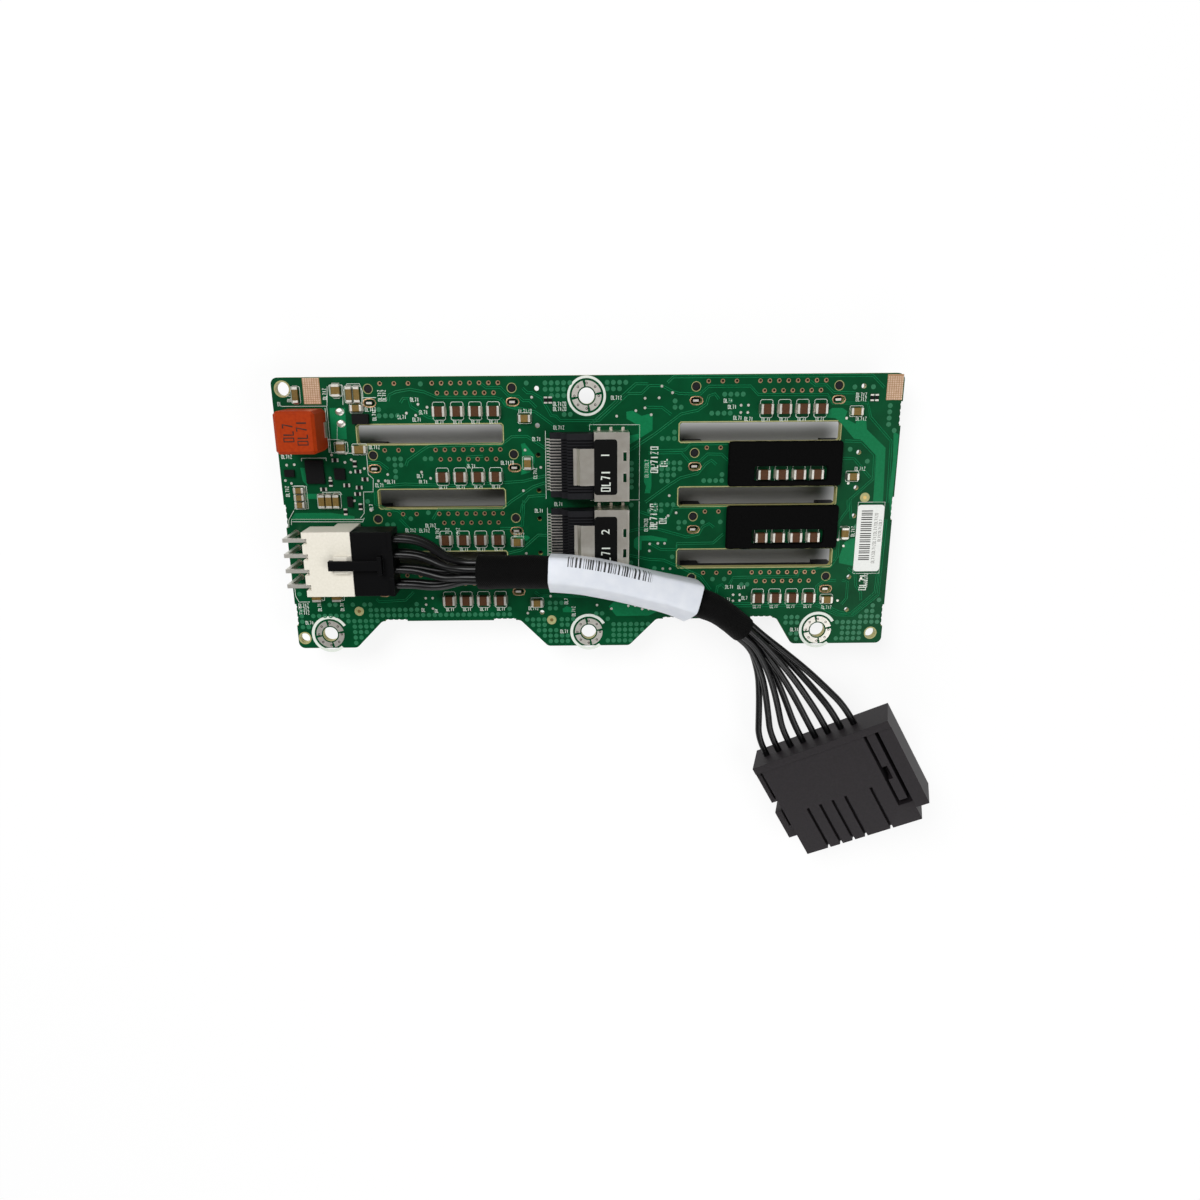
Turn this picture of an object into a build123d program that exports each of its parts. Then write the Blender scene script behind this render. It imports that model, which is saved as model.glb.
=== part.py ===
from build123d import *
import os
from math import cos, pi, radians, sin, sqrt, tan

# Drive backplane board: a green circuit board with its rear face up, standing
# on the eight drive connectors of its front face, with a cable harness that
# runs from the power header to a second connector.
# Millimetres. The origin is the centre of the board's plan, on the surface
# that the connectors stand on. +X runs along the board, +Y to its straight
# edge and +Z out of its rear face.

# Board
BOARD_LENGTH = 170.8
BOARD_WIDTH = 75.5
BOARD_THICKNESS = 2.36
CORNER_RADIUS = 1.8
LOBE_DEPTH = 7.9
LEFT_LOBE_LENGTH = 17.0
RIGHT_LOBE_LENGTH = 26.5
CENTRE_LOBE_LENGTH = 23.8
CENTRE_LOBE_X = -0.6
STEEP_SLOPE_RUN = 4.8
SCAR_LENGTH = 6.4
SCAR_DEPTH = 0.4
BITE_RADIUS = 0.55
BITE_COUNT = 4

# Drive bays: two columns of four connectors
ROW_PITCH = 17.47
TOP_ROW_INSET = 3.1
LAST_ROW_INSET = 19.9
LEFT_BAY_INSET = 45.3
RIGHT_BAY_INSET = 36.95
PEG_SPACING = 38.7
PEG_DIAMETER = 2.0
PEG_CLEARANCE = 0.15
PEG_RECESS = 0.3
LOCK_DROP = 3.65
LOCK_SLOT_LENGTH = 2.9
LOCK_SLOT_WIDTH = 1.5
INDICATOR_OFFSET = 26.05
INDICATOR_DIAMETER = 1.3
INDICATOR_DROPS = (0.2, 9.85)

# Airflow slots
SLOT_WIDTH = 5.0
SLOT_DROP = 11.95
SLOT_CORNER = 0.8
LEFT_SLOT_END = 16.45
LEFT_SLOT_LONG = 39.6
LEFT_SLOT_SHORT = 35.0
RIGHT_SLOT_END = 20.45
RIGHT_SLOT_LENGTH = 44.0

# Screw and locating holes
SCREW_HOLE_DIAMETER = 4.3
BOTTOM_SCREW_INSET = 4.15
TOP_SCREW_INSET = 5.3
LEFT_SCREW_INSET = 9.45
RIGHT_SCREW_INSET = 19.05
CENTRE_SCREW_X = -0.55
LOCATING_DIAMETER = 2.9
LEFT_LOCATING_INSET = 1.95
RIGHT_LOCATING_INSET = 3.35
BOTTOM_LOCATING_INSET = 3.05
CORNER_HOLE_DIAMETER = 3.6
CORNER_HOLE_INSET = 2.95

# Drive connectors
CONNECTOR_HEIGHT = 8.5
BODY_FRONT = 2.4
BODY_BACK = 2.1
BODY_RECESS = 1.0
END_BLOCK_LENGTH = 4.9
END_BLOCK_FRONT = 4.8
END_BLOCK_BACK = 2.8
BLADE_SLOT_WIDTH = 1.6
BLADE_SLOT_DEPTH = 5.4
BLADE_KEY_SIZE = 1.2
GUIDE_POCKET_LENGTH = 2.2
GUIDE_POCKET_WIDTH = 3.2
GUIDE_POCKET_DEPTH = 4.0
CONTACT_PITCH = 1.27
CONTACT_WIDTH = 0.7
CONTACT_THICKNESS = 0.3
CONTACT_SHORTFALL = 0.6
SIGNAL_CONTACTS = 7
POWER_CONTACTS = 15
FIRST_SIGNAL_X = -16.05
FIRST_POWER_X = -2.08
BLADE_END_MARGIN = 1.1
LOCK_LENGTH = 1.5
LOCK_THICKNESS = 0.6

# Ports
PORT_COUNT = 2
PORT_PITCH = 20.5
PORT_DROP = 23.35
PORT_MOUTH_X = 10.75
SHELL_LENGTH = 9.45
SHELL_WIDTH = 18.2
SHELL_HEIGHT = 8.6
SHELL_WALL = 0.35
WINDOW_LENGTH = 0.9
WINDOW_WIDTH = 2.3
WINDOW_SPACING = 5.6
WINDOW_INSET = 1.2
TONGUE_LENGTH = 5.6
TONGUE_WIDTH = 9.7
TONGUE_BEND = 0.9
SHELL_TAB_COUNT = 3
SHELL_TAB_PITCH = 3.3
SHELL_TAB_SIZE = 0.8
COMB_LENGTH = 12.0
COMB_LOW_LENGTH = 3.1
COMB_MIDDLE_LENGTH = 1.65
COMB_STEPS = (2.6, 4.9, 7.2)
COMB_RIB_HEIGHT = 0.7
COMB_RIB_WIDTH = 0.38
COMB_PITCH = 0.8
COMB_CONTACTS = 18
NOSE_LENGTH = 2.6
CARD_SLOT_HEIGHT = 1.3
CARD_SLOT_WIDTH = 13.4
TAIL_THICKNESS = 0.2
TAIL_WIDTH = 0.34
TAIL_FOOT = 0.8
PORT_LABEL_LENGTH = 6.2
PORT_LABEL_WIDTH = 14.6
LABEL_THICKNESS = 0.12
LABEL_CORNER = 0.8

# Power header and the plug in it
HEADER_COLUMNS = 4
HEADER_ROWS = 2
HEADER_PITCH = 4.2
HEADER_REAR_INSET = 7.9
HEADER_DEPTH = 13.05
HEADER_DROP = 47.95
HEADER_LIFT = 4.9
HEADER_FOOT = 6.5
POCKET_SIZE = 3.7
POCKET_DEPTH = 9.0
HEADER_SIDE_WALL = 0.7
HEADER_TOP_WALL = 0.85
RAMP_LENGTH = 4.8
RAMP_WIDTH = 4.8
RAMP_HEIGHT = 1.0
PIN_SIZE = 1.07
PIN_REACH = 6.2
PIN_TAIL = 1.2
PIN_HOLE_CLEARANCE = 0.2
PIN_NOTCH_DEPTH = 1.3
PIN_NOTCH_WIDTH = 1.5
UPPER_LEG_INSET = 2.7
LOWER_LEG_INSET = 6.7
PLUG_LENGTH = 11.1
PLUG_SIDE_GAP = 0.1
FINGER_SIZE = 3.4
FINGER_LENGTH = 7.6
FINGER_BORE = 1.5
FINGER_BORE_DEPTH = 11.0
PLUG_RIB_LENGTH = 1.2
PLUG_RIB_HEIGHT = 0.5
PLUG_RIB_WIDTH = 5.0
LATCH_WIDTH = 2.65
LATCH_THICKNESS = 1.0
LATCH_GAP = 0.2
LATCH_HOOK = 1.1
LATCH_PIVOT = 1.2
LATCH_PIVOT_WIDTH = 5.0
LATCH_PIVOT_INSET = 4.0

# Far connector, in its own plane: across its wire end, along it and through it
FAR_PLACE = (66.6, -68.1)
FAR_HEADING = -60.6
FAR_ROLL = 17.5
FAR_THICKNESS = 11.0
FAR_LENGTH = 35.0
FAR_LEFT = -18.7
FAR_RIGHT = 14.3
FLANGE_DEPTH = 2.4
FLANGE_PROUD = 0.5
FLANGE_OVERHANG = 1.9
FAR_WIRE_PITCH = 4.1
FAR_WIRE_CENTRE = -2.0
FAR_WIRE_DEPTH = 5.5
FAR_CAVITY_WIDTH = 3.0
FAR_CAVITY_HEIGHT = 4.4
FAR_CAVITY_DEPTH = 9.0
FAR_TERMINAL_WIDTH = 2.2
FAR_TERMINAL_HEIGHT = 3.2
FAR_TERMINAL_BORE = 1.3
FAR_TERMINAL_INSET = 1.2
GROOVE_WIDTH = 0.85
GROOVE_DEPTH = 1.8
GROOVE_LENGTH = 15.6
GROOVE_STEPS = (1, 2, 3, 4, 6)
RAIL_THICKNESS = 1.4
RAIL_GAP = 1.0
RAIL_END = 14.2
HOOK_START = 17.8
HOOK_END = 28.0
HOOK_REACH = 3.1
HOOK_GAP_LENGTH = 6.0
SIDE_INSET = 1.2
GUARD_REACH = 8.6
GUARD_THICKNESS = 4.1
GUARD_END = 30.5
GUARD_WALL = 2.4
GUARD_CUT_DEPTH = 6.5
LEVER_WIDTH = 2.6
LEVER_GAP = 0.7
LEVER_END = 27.0
LEVER_NOTCH_START = 14.5
LEVER_NOTCH_LENGTH = 4.5
LEVER_NOTCH_WIDTH = 1.4

# Harness
WIRE_DIAMETER = 2.0
BUNDLE_RING = 2.6
NEAR_PLACES = (2, 3, 4, 5, 1, 7, 0, 6)
FAR_PLACES = (7, 5, 2, 1, 6, 4, 3, 0)
NEAR_SAG = (0.0, 0.3, 0.8, 1.1)
FAR_LEAD = 6.0
FAR_REACH = 14.0
FAR_EXTRA_REACH = 5.0
SLEEVE_DIAMETER = 9.2
WRAP_DIAMETER = 10.2
WRAP_CLEARANCE = 0.1
SLEEVE_ROUTE = (
    (-30.6, -13.2, 11.0),
    (-24.8, -13.15, 11.85),
    (-16.0, -12.85, 13.3),
    (-6.0, -13.0, 14.2),
    (4.0, -14.6, 14.35),
    (14.0, -17.25, 13.6),
    (24.0, -20.2, 11.3),
    (33.0, -23.8, 8.7),
    (38.5, -27.1, 6.6),
    (44.0, -32.2, 4.5),
)
WRAP_FIRST_CORNER = 3
WRAP_LAST_CORNER = 6
TURN_SHARE = 0.45

# Parts on the rear face
INDUCTOR_LENGTH = 10.8
INDUCTOR_WIDTH = 10.95
INDUCTOR_HEIGHT = 12.4
INDUCTOR_LEFT_INSET = 3.05
INDUCTOR_TOP_INSET = 8.05
INDUCTOR_EDGE = 0.8
TERMINAL_WIDTH = 4.0
TERMINAL_THICKNESS = 0.3
TERMINAL_HEIGHT = 2.6
FOAM_LENGTH = 31.6
FOAM_WIDTH = 12.3
FOAM_HEIGHT = 2.0
FOAM_CORNER = 1.2
FOAM_OFFSET = 5.64
FOAM_DROP = 3.0
FOAM_WINDOW_LENGTH = 20.2
FOAM_WINDOW_WIDTH = 4.0
FOAM_WINDOW_OFFSET = 1.65
FOAM_WINDOW_DROP = 2.6
BAY_CAP_SIZE = (3.3, 2.6, 2.0)
BAY_CAP_COUNT = 4
BAY_CAP_PITCH = 4.92
BAY_CAP_FIRST = (-0.55, -0.1)
BAY_CAP_DROP = 5.9
CAP_END_LENGTH = 0.6
LONE_CAP_SIZE = (3.2, 1.9, 1.5)
# Beside each bay's rows: x from the bay's middle, drop from the row, and whether it stands along Y
LONE_CAP_PLACES = (
    ((22.6, 7.9, False), (23.1, 2.4, True), (19.6, 6.7, False), (24.7, 6.95, False)),
    ((24.5, 6.75, False), (24.7, 6.7, False), (23.7, 5.0, True), (19.9, 6.65, False)),
)
STACK_COUNT = 3
STACK_PITCH = 2.0
STACK_INSET = 4.7
STACK_DROP = 29.85
STACK_CAP_SIZE = (2.7, 1.5, 1.3)
ROW_OF_CAPS_INSET = 10.8
ROW_OF_CAPS_DROP = 32.95
ROW_CAP_SIZE = (3.6, 1.6, 1.3)
TALL_CAP_INSETS = (6.4, 20.8, 22.9)
TALL_CAP_DROP = 4.5
TALL_CAP_SIZE = (4.0, 1.5, 1.0)
HEADER_CAP_INSETS = (7.0, 12.7)
HEADER_CAP_DROP = 10.7
HEADER_CAP_SIZE = (5.0, 2.5, 2.4)
# Inset from the left edge, drop from the top edge, size, and whether it stands along Y
FILTER_CAPS = (
    (22.4, 8.0, (3.1, 1.7, 1.0), False),
    (22.4, 18.9, (3.7, 2.0, 1.2), False),
    (17.4, 3.4, (3.1, 2.2, 1.4), True),
    (17.4, 18.3, (3.0, 2.2, 1.4), True),
)
CONTROLLER = (9.7, 24.85, (5.0, 6.3, 0.9), False)
POWER_DIODE = (23.5, 10.85, (4.4, 2.6, 1.6), False)
SMALL_ICS = (
    (2.65, 25.15, (2.7, 1.9, 0.9), False),
    (16.5, 25.45, (2.9, 3.0, 0.9), False),
    (18.7, 33.05, (2.8, 1.4, 1.0), True),
)
RESISTOR_SIZE = (1.7, 0.9, 0.45)
RESISTORS = (
    (21.5, 24.8, None, False),
    (23.3, 26.95, None, False),
    (21.5, 29.2, None, False),
    (20.9, 30.95, None, False),
    (11.6, 29.6, None, False),
    (18.1, 28.55, None, False),
    (15.5, 21.75, None, False),
    (21.4, 34.45, None, True),
    (17.1, 35.85, None, True),
    (13.7, 27.95, None, True),
    (20.8, 22.75, None, True),
)
BAY_RESISTOR_OFFSETS = (28.45, 29.7)
BAY_RESISTOR_DROP = 6.3
STICKER_LENGTH = 18.9
STICKER_WIDTH = 7.45
STICKER_INSET = 6.2
STICKER_DROP = 44.65
STICKER_CORNER = 0.9

# Places found from the ones above
LEFT = -BOARD_LENGTH / 2
RIGHT = BOARD_LENGTH / 2
BOTTOM = -BOARD_WIDTH / 2
TOP = BOARD_WIDTH / 2
FRONT_FACE = CONNECTOR_HEIGHT
REAR_FACE = CONNECTOR_HEIGHT + BOARD_THICKNESS
RECESS_EDGE = BOTTOM + LOBE_DEPTH
BAY_X = (LEFT + LEFT_BAY_INSET, RIGHT - RIGHT_BAY_INSET)
BAY_ROWS = int((BOARD_WIDTH - TOP_ROW_INSET - LAST_ROW_INSET) / ROW_PITCH) + 1
ROW_Y = [TOP - TOP_ROW_INSET - row * ROW_PITCH for row in range(BAY_ROWS)]
HEADER_Y = round(TOP - HEADER_DROP, 3)
HEADER_WIDTH = (HEADER_COLUMNS - 1) * HEADER_PITCH + POCKET_SIZE + 2 * HEADER_SIDE_WALL
HEADER_HEIGHT = (HEADER_ROWS - 1) * HEADER_PITCH + POCKET_SIZE + 2 * HEADER_TOP_WALL
HEADER_REAR = LEFT + HEADER_REAR_INSET
HEADER_FACE = HEADER_REAR + HEADER_DEPTH
HEADER_UNDER = REAR_FACE + HEADER_LIFT
HEADER_TOP = HEADER_UNDER + HEADER_HEIGHT
PLUG_END = HEADER_FACE + PLUG_LENGTH
HEADER_ROW_TOP = HEADER_TOP - HEADER_TOP_WALL - POCKET_SIZE / 2
HEADER_ROW_Z = [HEADER_ROW_TOP - row * HEADER_PITCH for row in range(HEADER_ROWS)]
HEADER_COLUMN_Y = [HEADER_Y + (1.5 - column) * HEADER_PITCH for column in range(HEADER_COLUMNS)]
LEG_X = (LEFT + UPPER_LEG_INSET, LEFT + LOWER_LEG_INSET)
PORT_CENTRES = [TOP - PORT_DROP - port * PORT_PITCH for port in range(PORT_COUNT)]
SHELL_REAR_X = PORT_MOUTH_X - SHELL_LENGTH


def block(x0, x1, y0, y1, z0, z1):
    """A rectangular solid between two limits on each axis."""
    middle = Pos((x0 + x1) / 2, (y0 + y1) / 2, (z0 + z1) / 2)
    return middle * Box(abs(x1 - x0), abs(y1 - y0), abs(z1 - z0))


def upright(sketch, bottom, height):
    """A sketch in plan, raised from a level."""
    return Pos(0, 0, bottom) * extrude(sketch, height)


def across(points, y0, y1):
    """A side profile of (x, z) points, drawn out across the board."""
    corners = [(x, 0, z) for x, z in points]
    face = make_face(Polyline(*corners, close=True))
    return Pos(0, min(y0, y1), 0) * extrude(face, abs(y1 - y0), dir=(0, 1, 0))


def slot(x, y, length, width, corner):
    return Pos(x, y) * RectangleRounded(length, width, corner)


def save(name, *solids):
    """Write one sub-part, as one solid or as a group of separate ones."""
    found = [piece for solid in solids for piece in solid.solids()]
    shape = found[0] if len(found) == 1 else Compound(found)
    export_step(shape, "parts/" + name + ".step")


# The board


def board_outline():
    slope = LOBE_DEPTH
    centre_start = CENTRE_LOBE_X - CENTRE_LOBE_LENGTH / 2
    centre_end = CENTRE_LOBE_X + CENTRE_LOBE_LENGTH / 2
    corners = [
        (LEFT, BOTTOM),
        (LEFT + LEFT_LOBE_LENGTH, BOTTOM),
        (LEFT + LEFT_LOBE_LENGTH + slope, RECESS_EDGE),
        (centre_start - slope, RECESS_EDGE),
        (centre_start, BOTTOM),
        (centre_end, BOTTOM),
        (centre_end + slope, RECESS_EDGE),
        (RIGHT - RIGHT_LOBE_LENGTH - STEEP_SLOPE_RUN, RECESS_EDGE),
        (RIGHT - RIGHT_LOBE_LENGTH, BOTTOM),
        (RIGHT, BOTTOM),
        (RIGHT, TOP),
        (LEFT, TOP),
    ]
    face = make_face(Polyline(*corners, close=True))
    return fillet(face.vertices(), CORNER_RADIUS)


def break_off_scar():
    """The shallow bitten notch that a break-off tab leaves, along X, open to -Y."""
    notch = Rectangle(SCAR_LENGTH, 2 * SCAR_DEPTH)
    pitch = SCAR_LENGTH / BITE_COUNT
    for bite in range(BITE_COUNT):
        x = (bite + 0.5) * pitch - SCAR_LENGTH / 2
        notch += Pos(x, 0) * Circle(BITE_RADIUS)
    return notch


def board_scars():
    left_recess = LEFT + LEFT_LOBE_LENGTH + LOBE_DEPTH
    right_recess = RIGHT - RIGHT_LOBE_LENGTH - STEEP_SLOPE_RUN
    reach = CENTRE_LOBE_LENGTH / 2 + LOBE_DEPTH
    recess_x = (
        left_recess + 4.1,
        CENTRE_LOBE_X - reach - 4.5,
        CENTRE_LOBE_X + reach + 5.1,
        right_recess - 4.3,
    )
    left_drops = (37.05, 65.45)
    right_drops = (10.55, 36.25, 67.15)
    scars = [Pos(x, RECESS_EDGE) * break_off_scar() for x in recess_x]
    scars += [Pos(LEFT, TOP - drop) * Rot(0, 0, -90) * break_off_scar() for drop in left_drops]
    scars += [Pos(RIGHT, TOP - drop) * Rot(0, 0, 90) * break_off_scar() for drop in right_drops]
    return scars


def airflow_slots():
    slots = []
    for row in range(BAY_ROWS - 1):
        y = ROW_Y[row] - SLOT_DROP
        length = LEFT_SLOT_LONG if row == 0 else LEFT_SLOT_SHORT
        slots.append(slot(BAY_X[0] + LEFT_SLOT_END - length / 2, y, length, SLOT_WIDTH, SLOT_CORNER))
        x = BAY_X[1] + RIGHT_SLOT_END - RIGHT_SLOT_LENGTH / 2
        slots.append(slot(x, y, RIGHT_SLOT_LENGTH, SLOT_WIDTH, SLOT_CORNER))
    return slots


def bay_holes():
    """Peg holes, board-lock slots and indicator holes of every drive bay."""
    holes = []
    for centre in BAY_X:
        for y in ROW_Y:
            for side in (-1, 1):
                x = centre + side * PEG_SPACING / 2
                holes.append(Pos(x, y) * Circle(PEG_DIAMETER / 2 + PEG_CLEARANCE))
                holes.append(Pos(x, y - LOCK_DROP) * SlotOverall(LOCK_SLOT_LENGTH, LOCK_SLOT_WIDTH))
            for drop in INDICATOR_DROPS:
                holes.append(Pos(centre + INDICATOR_OFFSET, y - drop) * Circle(INDICATOR_DIAMETER / 2))
    return holes


def fixing_holes():
    screw = Circle(SCREW_HOLE_DIAMETER / 2)
    locating = Circle(LOCATING_DIAMETER / 2)
    low = BOTTOM + BOTTOM_SCREW_INSET
    return [
        Pos(LEFT + LEFT_SCREW_INSET, low) * screw,
        Pos(RIGHT - RIGHT_SCREW_INSET, low) * screw,
        Pos(CENTRE_SCREW_X, low) * screw,
        Pos(CENTRE_SCREW_X, TOP - TOP_SCREW_INSET) * screw,
        Pos(LEFT + LEFT_LOCATING_INSET, BOTTOM + BOTTOM_LOCATING_INSET) * locating,
        Pos(RIGHT - RIGHT_LOCATING_INSET, BOTTOM + BOTTOM_LOCATING_INSET) * locating,
        Pos(LEFT + CORNER_HOLE_INSET, TOP - CORNER_HOLE_INSET) * Circle(CORNER_HOLE_DIAMETER / 2),
    ]


def header_holes():
    radius = PIN_SIZE / sqrt(2) + PIN_HOLE_CLEARANCE / 2
    return [Pos(x, y) * Circle(radius) for x in LEG_X for y in HEADER_COLUMN_Y]


def circuit_board():
    plan = board_outline()
    plan -= airflow_slots() + bay_holes() + fixing_holes() + header_holes() + board_scars()
    return upright(plan, FRONT_FACE, BOARD_THICKNESS)


# Drive connectors


def drive_connector():
    """A blade connector, seen from its mating face at z = 0, about its own centre."""
    half = PEG_SPACING / 2
    body = block(-half, half, -BODY_FRONT, BODY_BACK, BODY_RECESS, CONNECTOR_HEIGHT)
    for side in (-1, 1):
        x0 = side * half - END_BLOCK_LENGTH / 2
        end = block(x0, x0 + END_BLOCK_LENGTH, -END_BLOCK_FRONT, END_BLOCK_BACK, 0, CONNECTOR_HEIGHT)
        middle = (END_BLOCK_BACK - END_BLOCK_FRONT) / 2
        end -= Pos(side * half, middle, GUIDE_POCKET_DEPTH / 2) * Box(
            GUIDE_POCKET_LENGTH, GUIDE_POCKET_WIDTH, GUIDE_POCKET_DEPTH)
        body += end
        height = BOARD_THICKNESS - PEG_RECESS
        peg = Pos(side * half, 0, CONNECTOR_HEIGHT + height / 2) * Cylinder(PEG_DIAMETER / 2, height)
        body += peg
    start, end = blade_span()
    roof = BODY_RECESS + BLADE_SLOT_DEPTH
    half_slot = BLADE_SLOT_WIDTH / 2
    body -= block(start, end, -half_slot, half_slot, BODY_RECESS, roof)
    for x in (start, end - BLADE_KEY_SIZE):
        body -= block(x, x + BLADE_KEY_SIZE, half_slot, half_slot + BLADE_KEY_SIZE / 2, BODY_RECESS, roof)
    return body


def blade_span():
    start = FIRST_SIGNAL_X - BLADE_END_MARGIN
    end = FIRST_POWER_X + (POWER_CONTACTS - 1) * CONTACT_PITCH + BLADE_END_MARGIN
    return start, end


def drive_contacts():
    """The contact blades along one wall of a connector's slot."""
    places = [FIRST_SIGNAL_X + pin * CONTACT_PITCH for pin in range(SIGNAL_CONTACTS)]
    places += [FIRST_POWER_X + pin * CONTACT_PITCH for pin in range(POWER_CONTACTS)]
    wall = -BLADE_SLOT_WIDTH / 2
    low = BODY_RECESS + CONTACT_SHORTFALL
    roof = BODY_RECESS + BLADE_SLOT_DEPTH
    half = CONTACT_WIDTH / 2
    return [block(x - half, x + half, wall, wall + CONTACT_THICKNESS, low, roof) for x in places]


def board_locks():
    """The metal tabs that hold each connector in its oval slots."""
    tabs = []
    for centre in BAY_X:
        for y in ROW_Y:
            for side in (-1, 1):
                x = centre + side * PEG_SPACING / 2
                low = y - LOCK_DROP - LOCK_THICKNESS / 2
                tabs.append(block(x - LOCK_LENGTH / 2, x + LOCK_LENGTH / 2,
                                  low, low + LOCK_THICKNESS, FRONT_FACE, REAR_FACE))
    return tabs


# Ports, about the middle of each port's width at the board's rear face


def port_housing():
    """The stepped comb behind a port, with the nose that takes the plug's card."""
    rear = SHELL_REAR_X - COMB_LENGTH
    low, middle, high = COMB_STEPS
    first = rear + COMB_LOW_LENGTH
    second = first + COMB_MIDDLE_LENGTH
    end = SHELL_REAR_X + NOSE_LENGTH
    half = SHELL_WIDTH / 2 - SHELL_WALL - PLUG_SIDE_GAP

    def profile(drop, last):
        return [(rear, 0), (last, 0), (last, high - drop), (second, high - drop), (second, middle - drop),
                (first, middle - drop), (first, low - drop), (rear, low - drop)]

    body = across(profile(COMB_RIB_HEIGHT, end), -half, half)
    for rib in range(COMB_CONTACTS + 1):
        y = (rib - COMB_CONTACTS / 2) * COMB_PITCH
        body += across(profile(0, SHELL_REAR_X - SHELL_WALL), y - COMB_RIB_WIDTH / 2, y + COMB_RIB_WIDTH / 2)
    for side in (-1, 1):
        edge = COMB_CONTACTS / 2 * COMB_PITCH
        body += across(profile(0, SHELL_REAR_X - SHELL_WALL), side * edge, side * half)
    card = SHELL_HEIGHT / 2
    body -= block(SHELL_REAR_X, end, -CARD_SLOT_WIDTH / 2, CARD_SLOT_WIDTH / 2,
                  card - CARD_SLOT_HEIGHT / 2, card + CARD_SLOT_HEIGHT / 2)
    return body


def port_contacts():
    """The bent tails between the ribs, from the comb's lowest step to the board."""
    rear = SHELL_REAR_X - COMB_LENGTH
    top = COMB_STEPS[0] - COMB_RIB_HEIGHT + TAIL_THICKNESS
    start = rear + COMB_LOW_LENGTH
    outer = rear - TAIL_THICKNESS
    profile = [(start, top), (outer, top), (outer, TAIL_THICKNESS), (outer - TAIL_FOOT, TAIL_THICKNESS),
               (outer - TAIL_FOOT, 0), (rear, 0), (rear, top - TAIL_THICKNESS), (start, top - TAIL_THICKNESS)]
    tails = []
    for contact in range(COMB_CONTACTS):
        y = (contact + 0.5 - COMB_CONTACTS / 2) * COMB_PITCH
        tails.append(across(profile, y - TAIL_WIDTH / 2, y + TAIL_WIDTH / 2))
    return tails


def port_shell():
    """The folded metal shell, open at its mouth, with a tongue over the comb."""
    half = SHELL_WIDTH / 2
    inner = half - SHELL_WALL
    shell = block(SHELL_REAR_X, PORT_MOUTH_X, -half, half, 0, SHELL_HEIGHT)
    shell -= block(SHELL_REAR_X, PORT_MOUTH_X, -inner, inner, 0, SHELL_HEIGHT - SHELL_WALL)
    top = SHELL_HEIGHT
    landing = COMB_STEPS[2]
    tip = SHELL_REAR_X - TONGUE_LENGTH
    bend = tip + 2 * TONGUE_BEND
    profile = [(SHELL_REAR_X, top), (bend, top), (bend - TONGUE_BEND, landing + SHELL_WALL),
               (tip, landing + SHELL_WALL), (tip, landing), (bend - TONGUE_BEND + SHELL_WALL / 2, landing),
               (bend + SHELL_WALL / 2, top - SHELL_WALL), (SHELL_REAR_X, top - SHELL_WALL)]
    shell += across(profile, -TONGUE_WIDTH / 2, TONGUE_WIDTH / 2)
    window_x = PORT_MOUTH_X - WINDOW_INSET
    for side in (-1, 1):
        y = side * WINDOW_SPACING / 2
        shell -= Pos(window_x, y, top) * Box(WINDOW_LENGTH, WINDOW_WIDTH, 2 * SHELL_WALL + 1)
        for tab in range(SHELL_TAB_COUNT):
            x = SHELL_REAR_X + SHELL_LENGTH / 2 + (tab - (SHELL_TAB_COUNT - 1) / 2) * SHELL_TAB_PITCH
            y0 = side * half
            shell += block(x - SHELL_TAB_SIZE / 2, x + SHELL_TAB_SIZE / 2,
                           y0 - side * SHELL_WALL, y0 + side * SHELL_TAB_SIZE, 0, SHELL_WALL)
    return shell


def port_label():
    x = SHELL_REAR_X + PORT_LABEL_LENGTH / 2
    label = slot(x, 0, PORT_LABEL_LENGTH, PORT_LABEL_WIDTH, LABEL_CORNER)
    return upright(label, SHELL_HEIGHT, LABEL_THICKNESS)


# Power header, its pins and the plug


def power_header():
    half = HEADER_WIDTH / 2
    y0 = HEADER_Y - half
    y1 = HEADER_Y + half
    body = block(HEADER_REAR, HEADER_FACE, y0, y1, HEADER_UNDER, HEADER_TOP)
    body += block(HEADER_FACE - HEADER_FOOT, HEADER_FACE, y0, y1, REAR_FACE, HEADER_UNDER)
    ramp = [(HEADER_FACE, HEADER_TOP), (HEADER_FACE - RAMP_LENGTH, HEADER_TOP),
            (HEADER_FACE - RAMP_LENGTH, HEADER_TOP + RAMP_HEIGHT),
            (HEADER_FACE - RAMP_LENGTH / 4, HEADER_TOP + RAMP_HEIGHT)]
    body += across(ramp, HEADER_Y - RAMP_WIDTH / 2, HEADER_Y + RAMP_WIDTH / 2)
    for y in HEADER_COLUMN_Y:
        for z in HEADER_ROW_Z:
            half_pocket = POCKET_SIZE / 2
            body -= block(HEADER_FACE - POCKET_DEPTH, HEADER_FACE,
                          y - half_pocket, y + half_pocket, z - half_pocket, z + half_pocket)
            body -= block(HEADER_REAR, HEADER_FACE, y - PIN_SIZE / 2, y + PIN_SIZE / 2,
                          z - PIN_SIZE / 2, z + PIN_SIZE / 2)
        notch_z = HEADER_ROW_Z[0] - PIN_SIZE / 2
        body -= block(HEADER_REAR, HEADER_REAR + PIN_NOTCH_DEPTH, y - PIN_NOTCH_WIDTH / 2,
                      y + PIN_NOTCH_WIDTH / 2, notch_z, HEADER_TOP)
    return body


def header_pins():
    """Bent square pins, each from its pocket back and down through the board."""
    pins = []
    half = PIN_SIZE / 2
    tip = HEADER_FACE - POCKET_DEPTH + PIN_REACH
    low = FRONT_FACE - PIN_TAIL
    for z, x in zip(HEADER_ROW_Z, LEG_X):
        profile = [(tip, z + half), (x - half, z + half), (x - half, low),
                   (x + half, low), (x + half, z - half), (tip, z - half)]
        pins += [across(profile, y - half, y + half) for y in HEADER_COLUMN_Y]
    return pins


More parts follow.
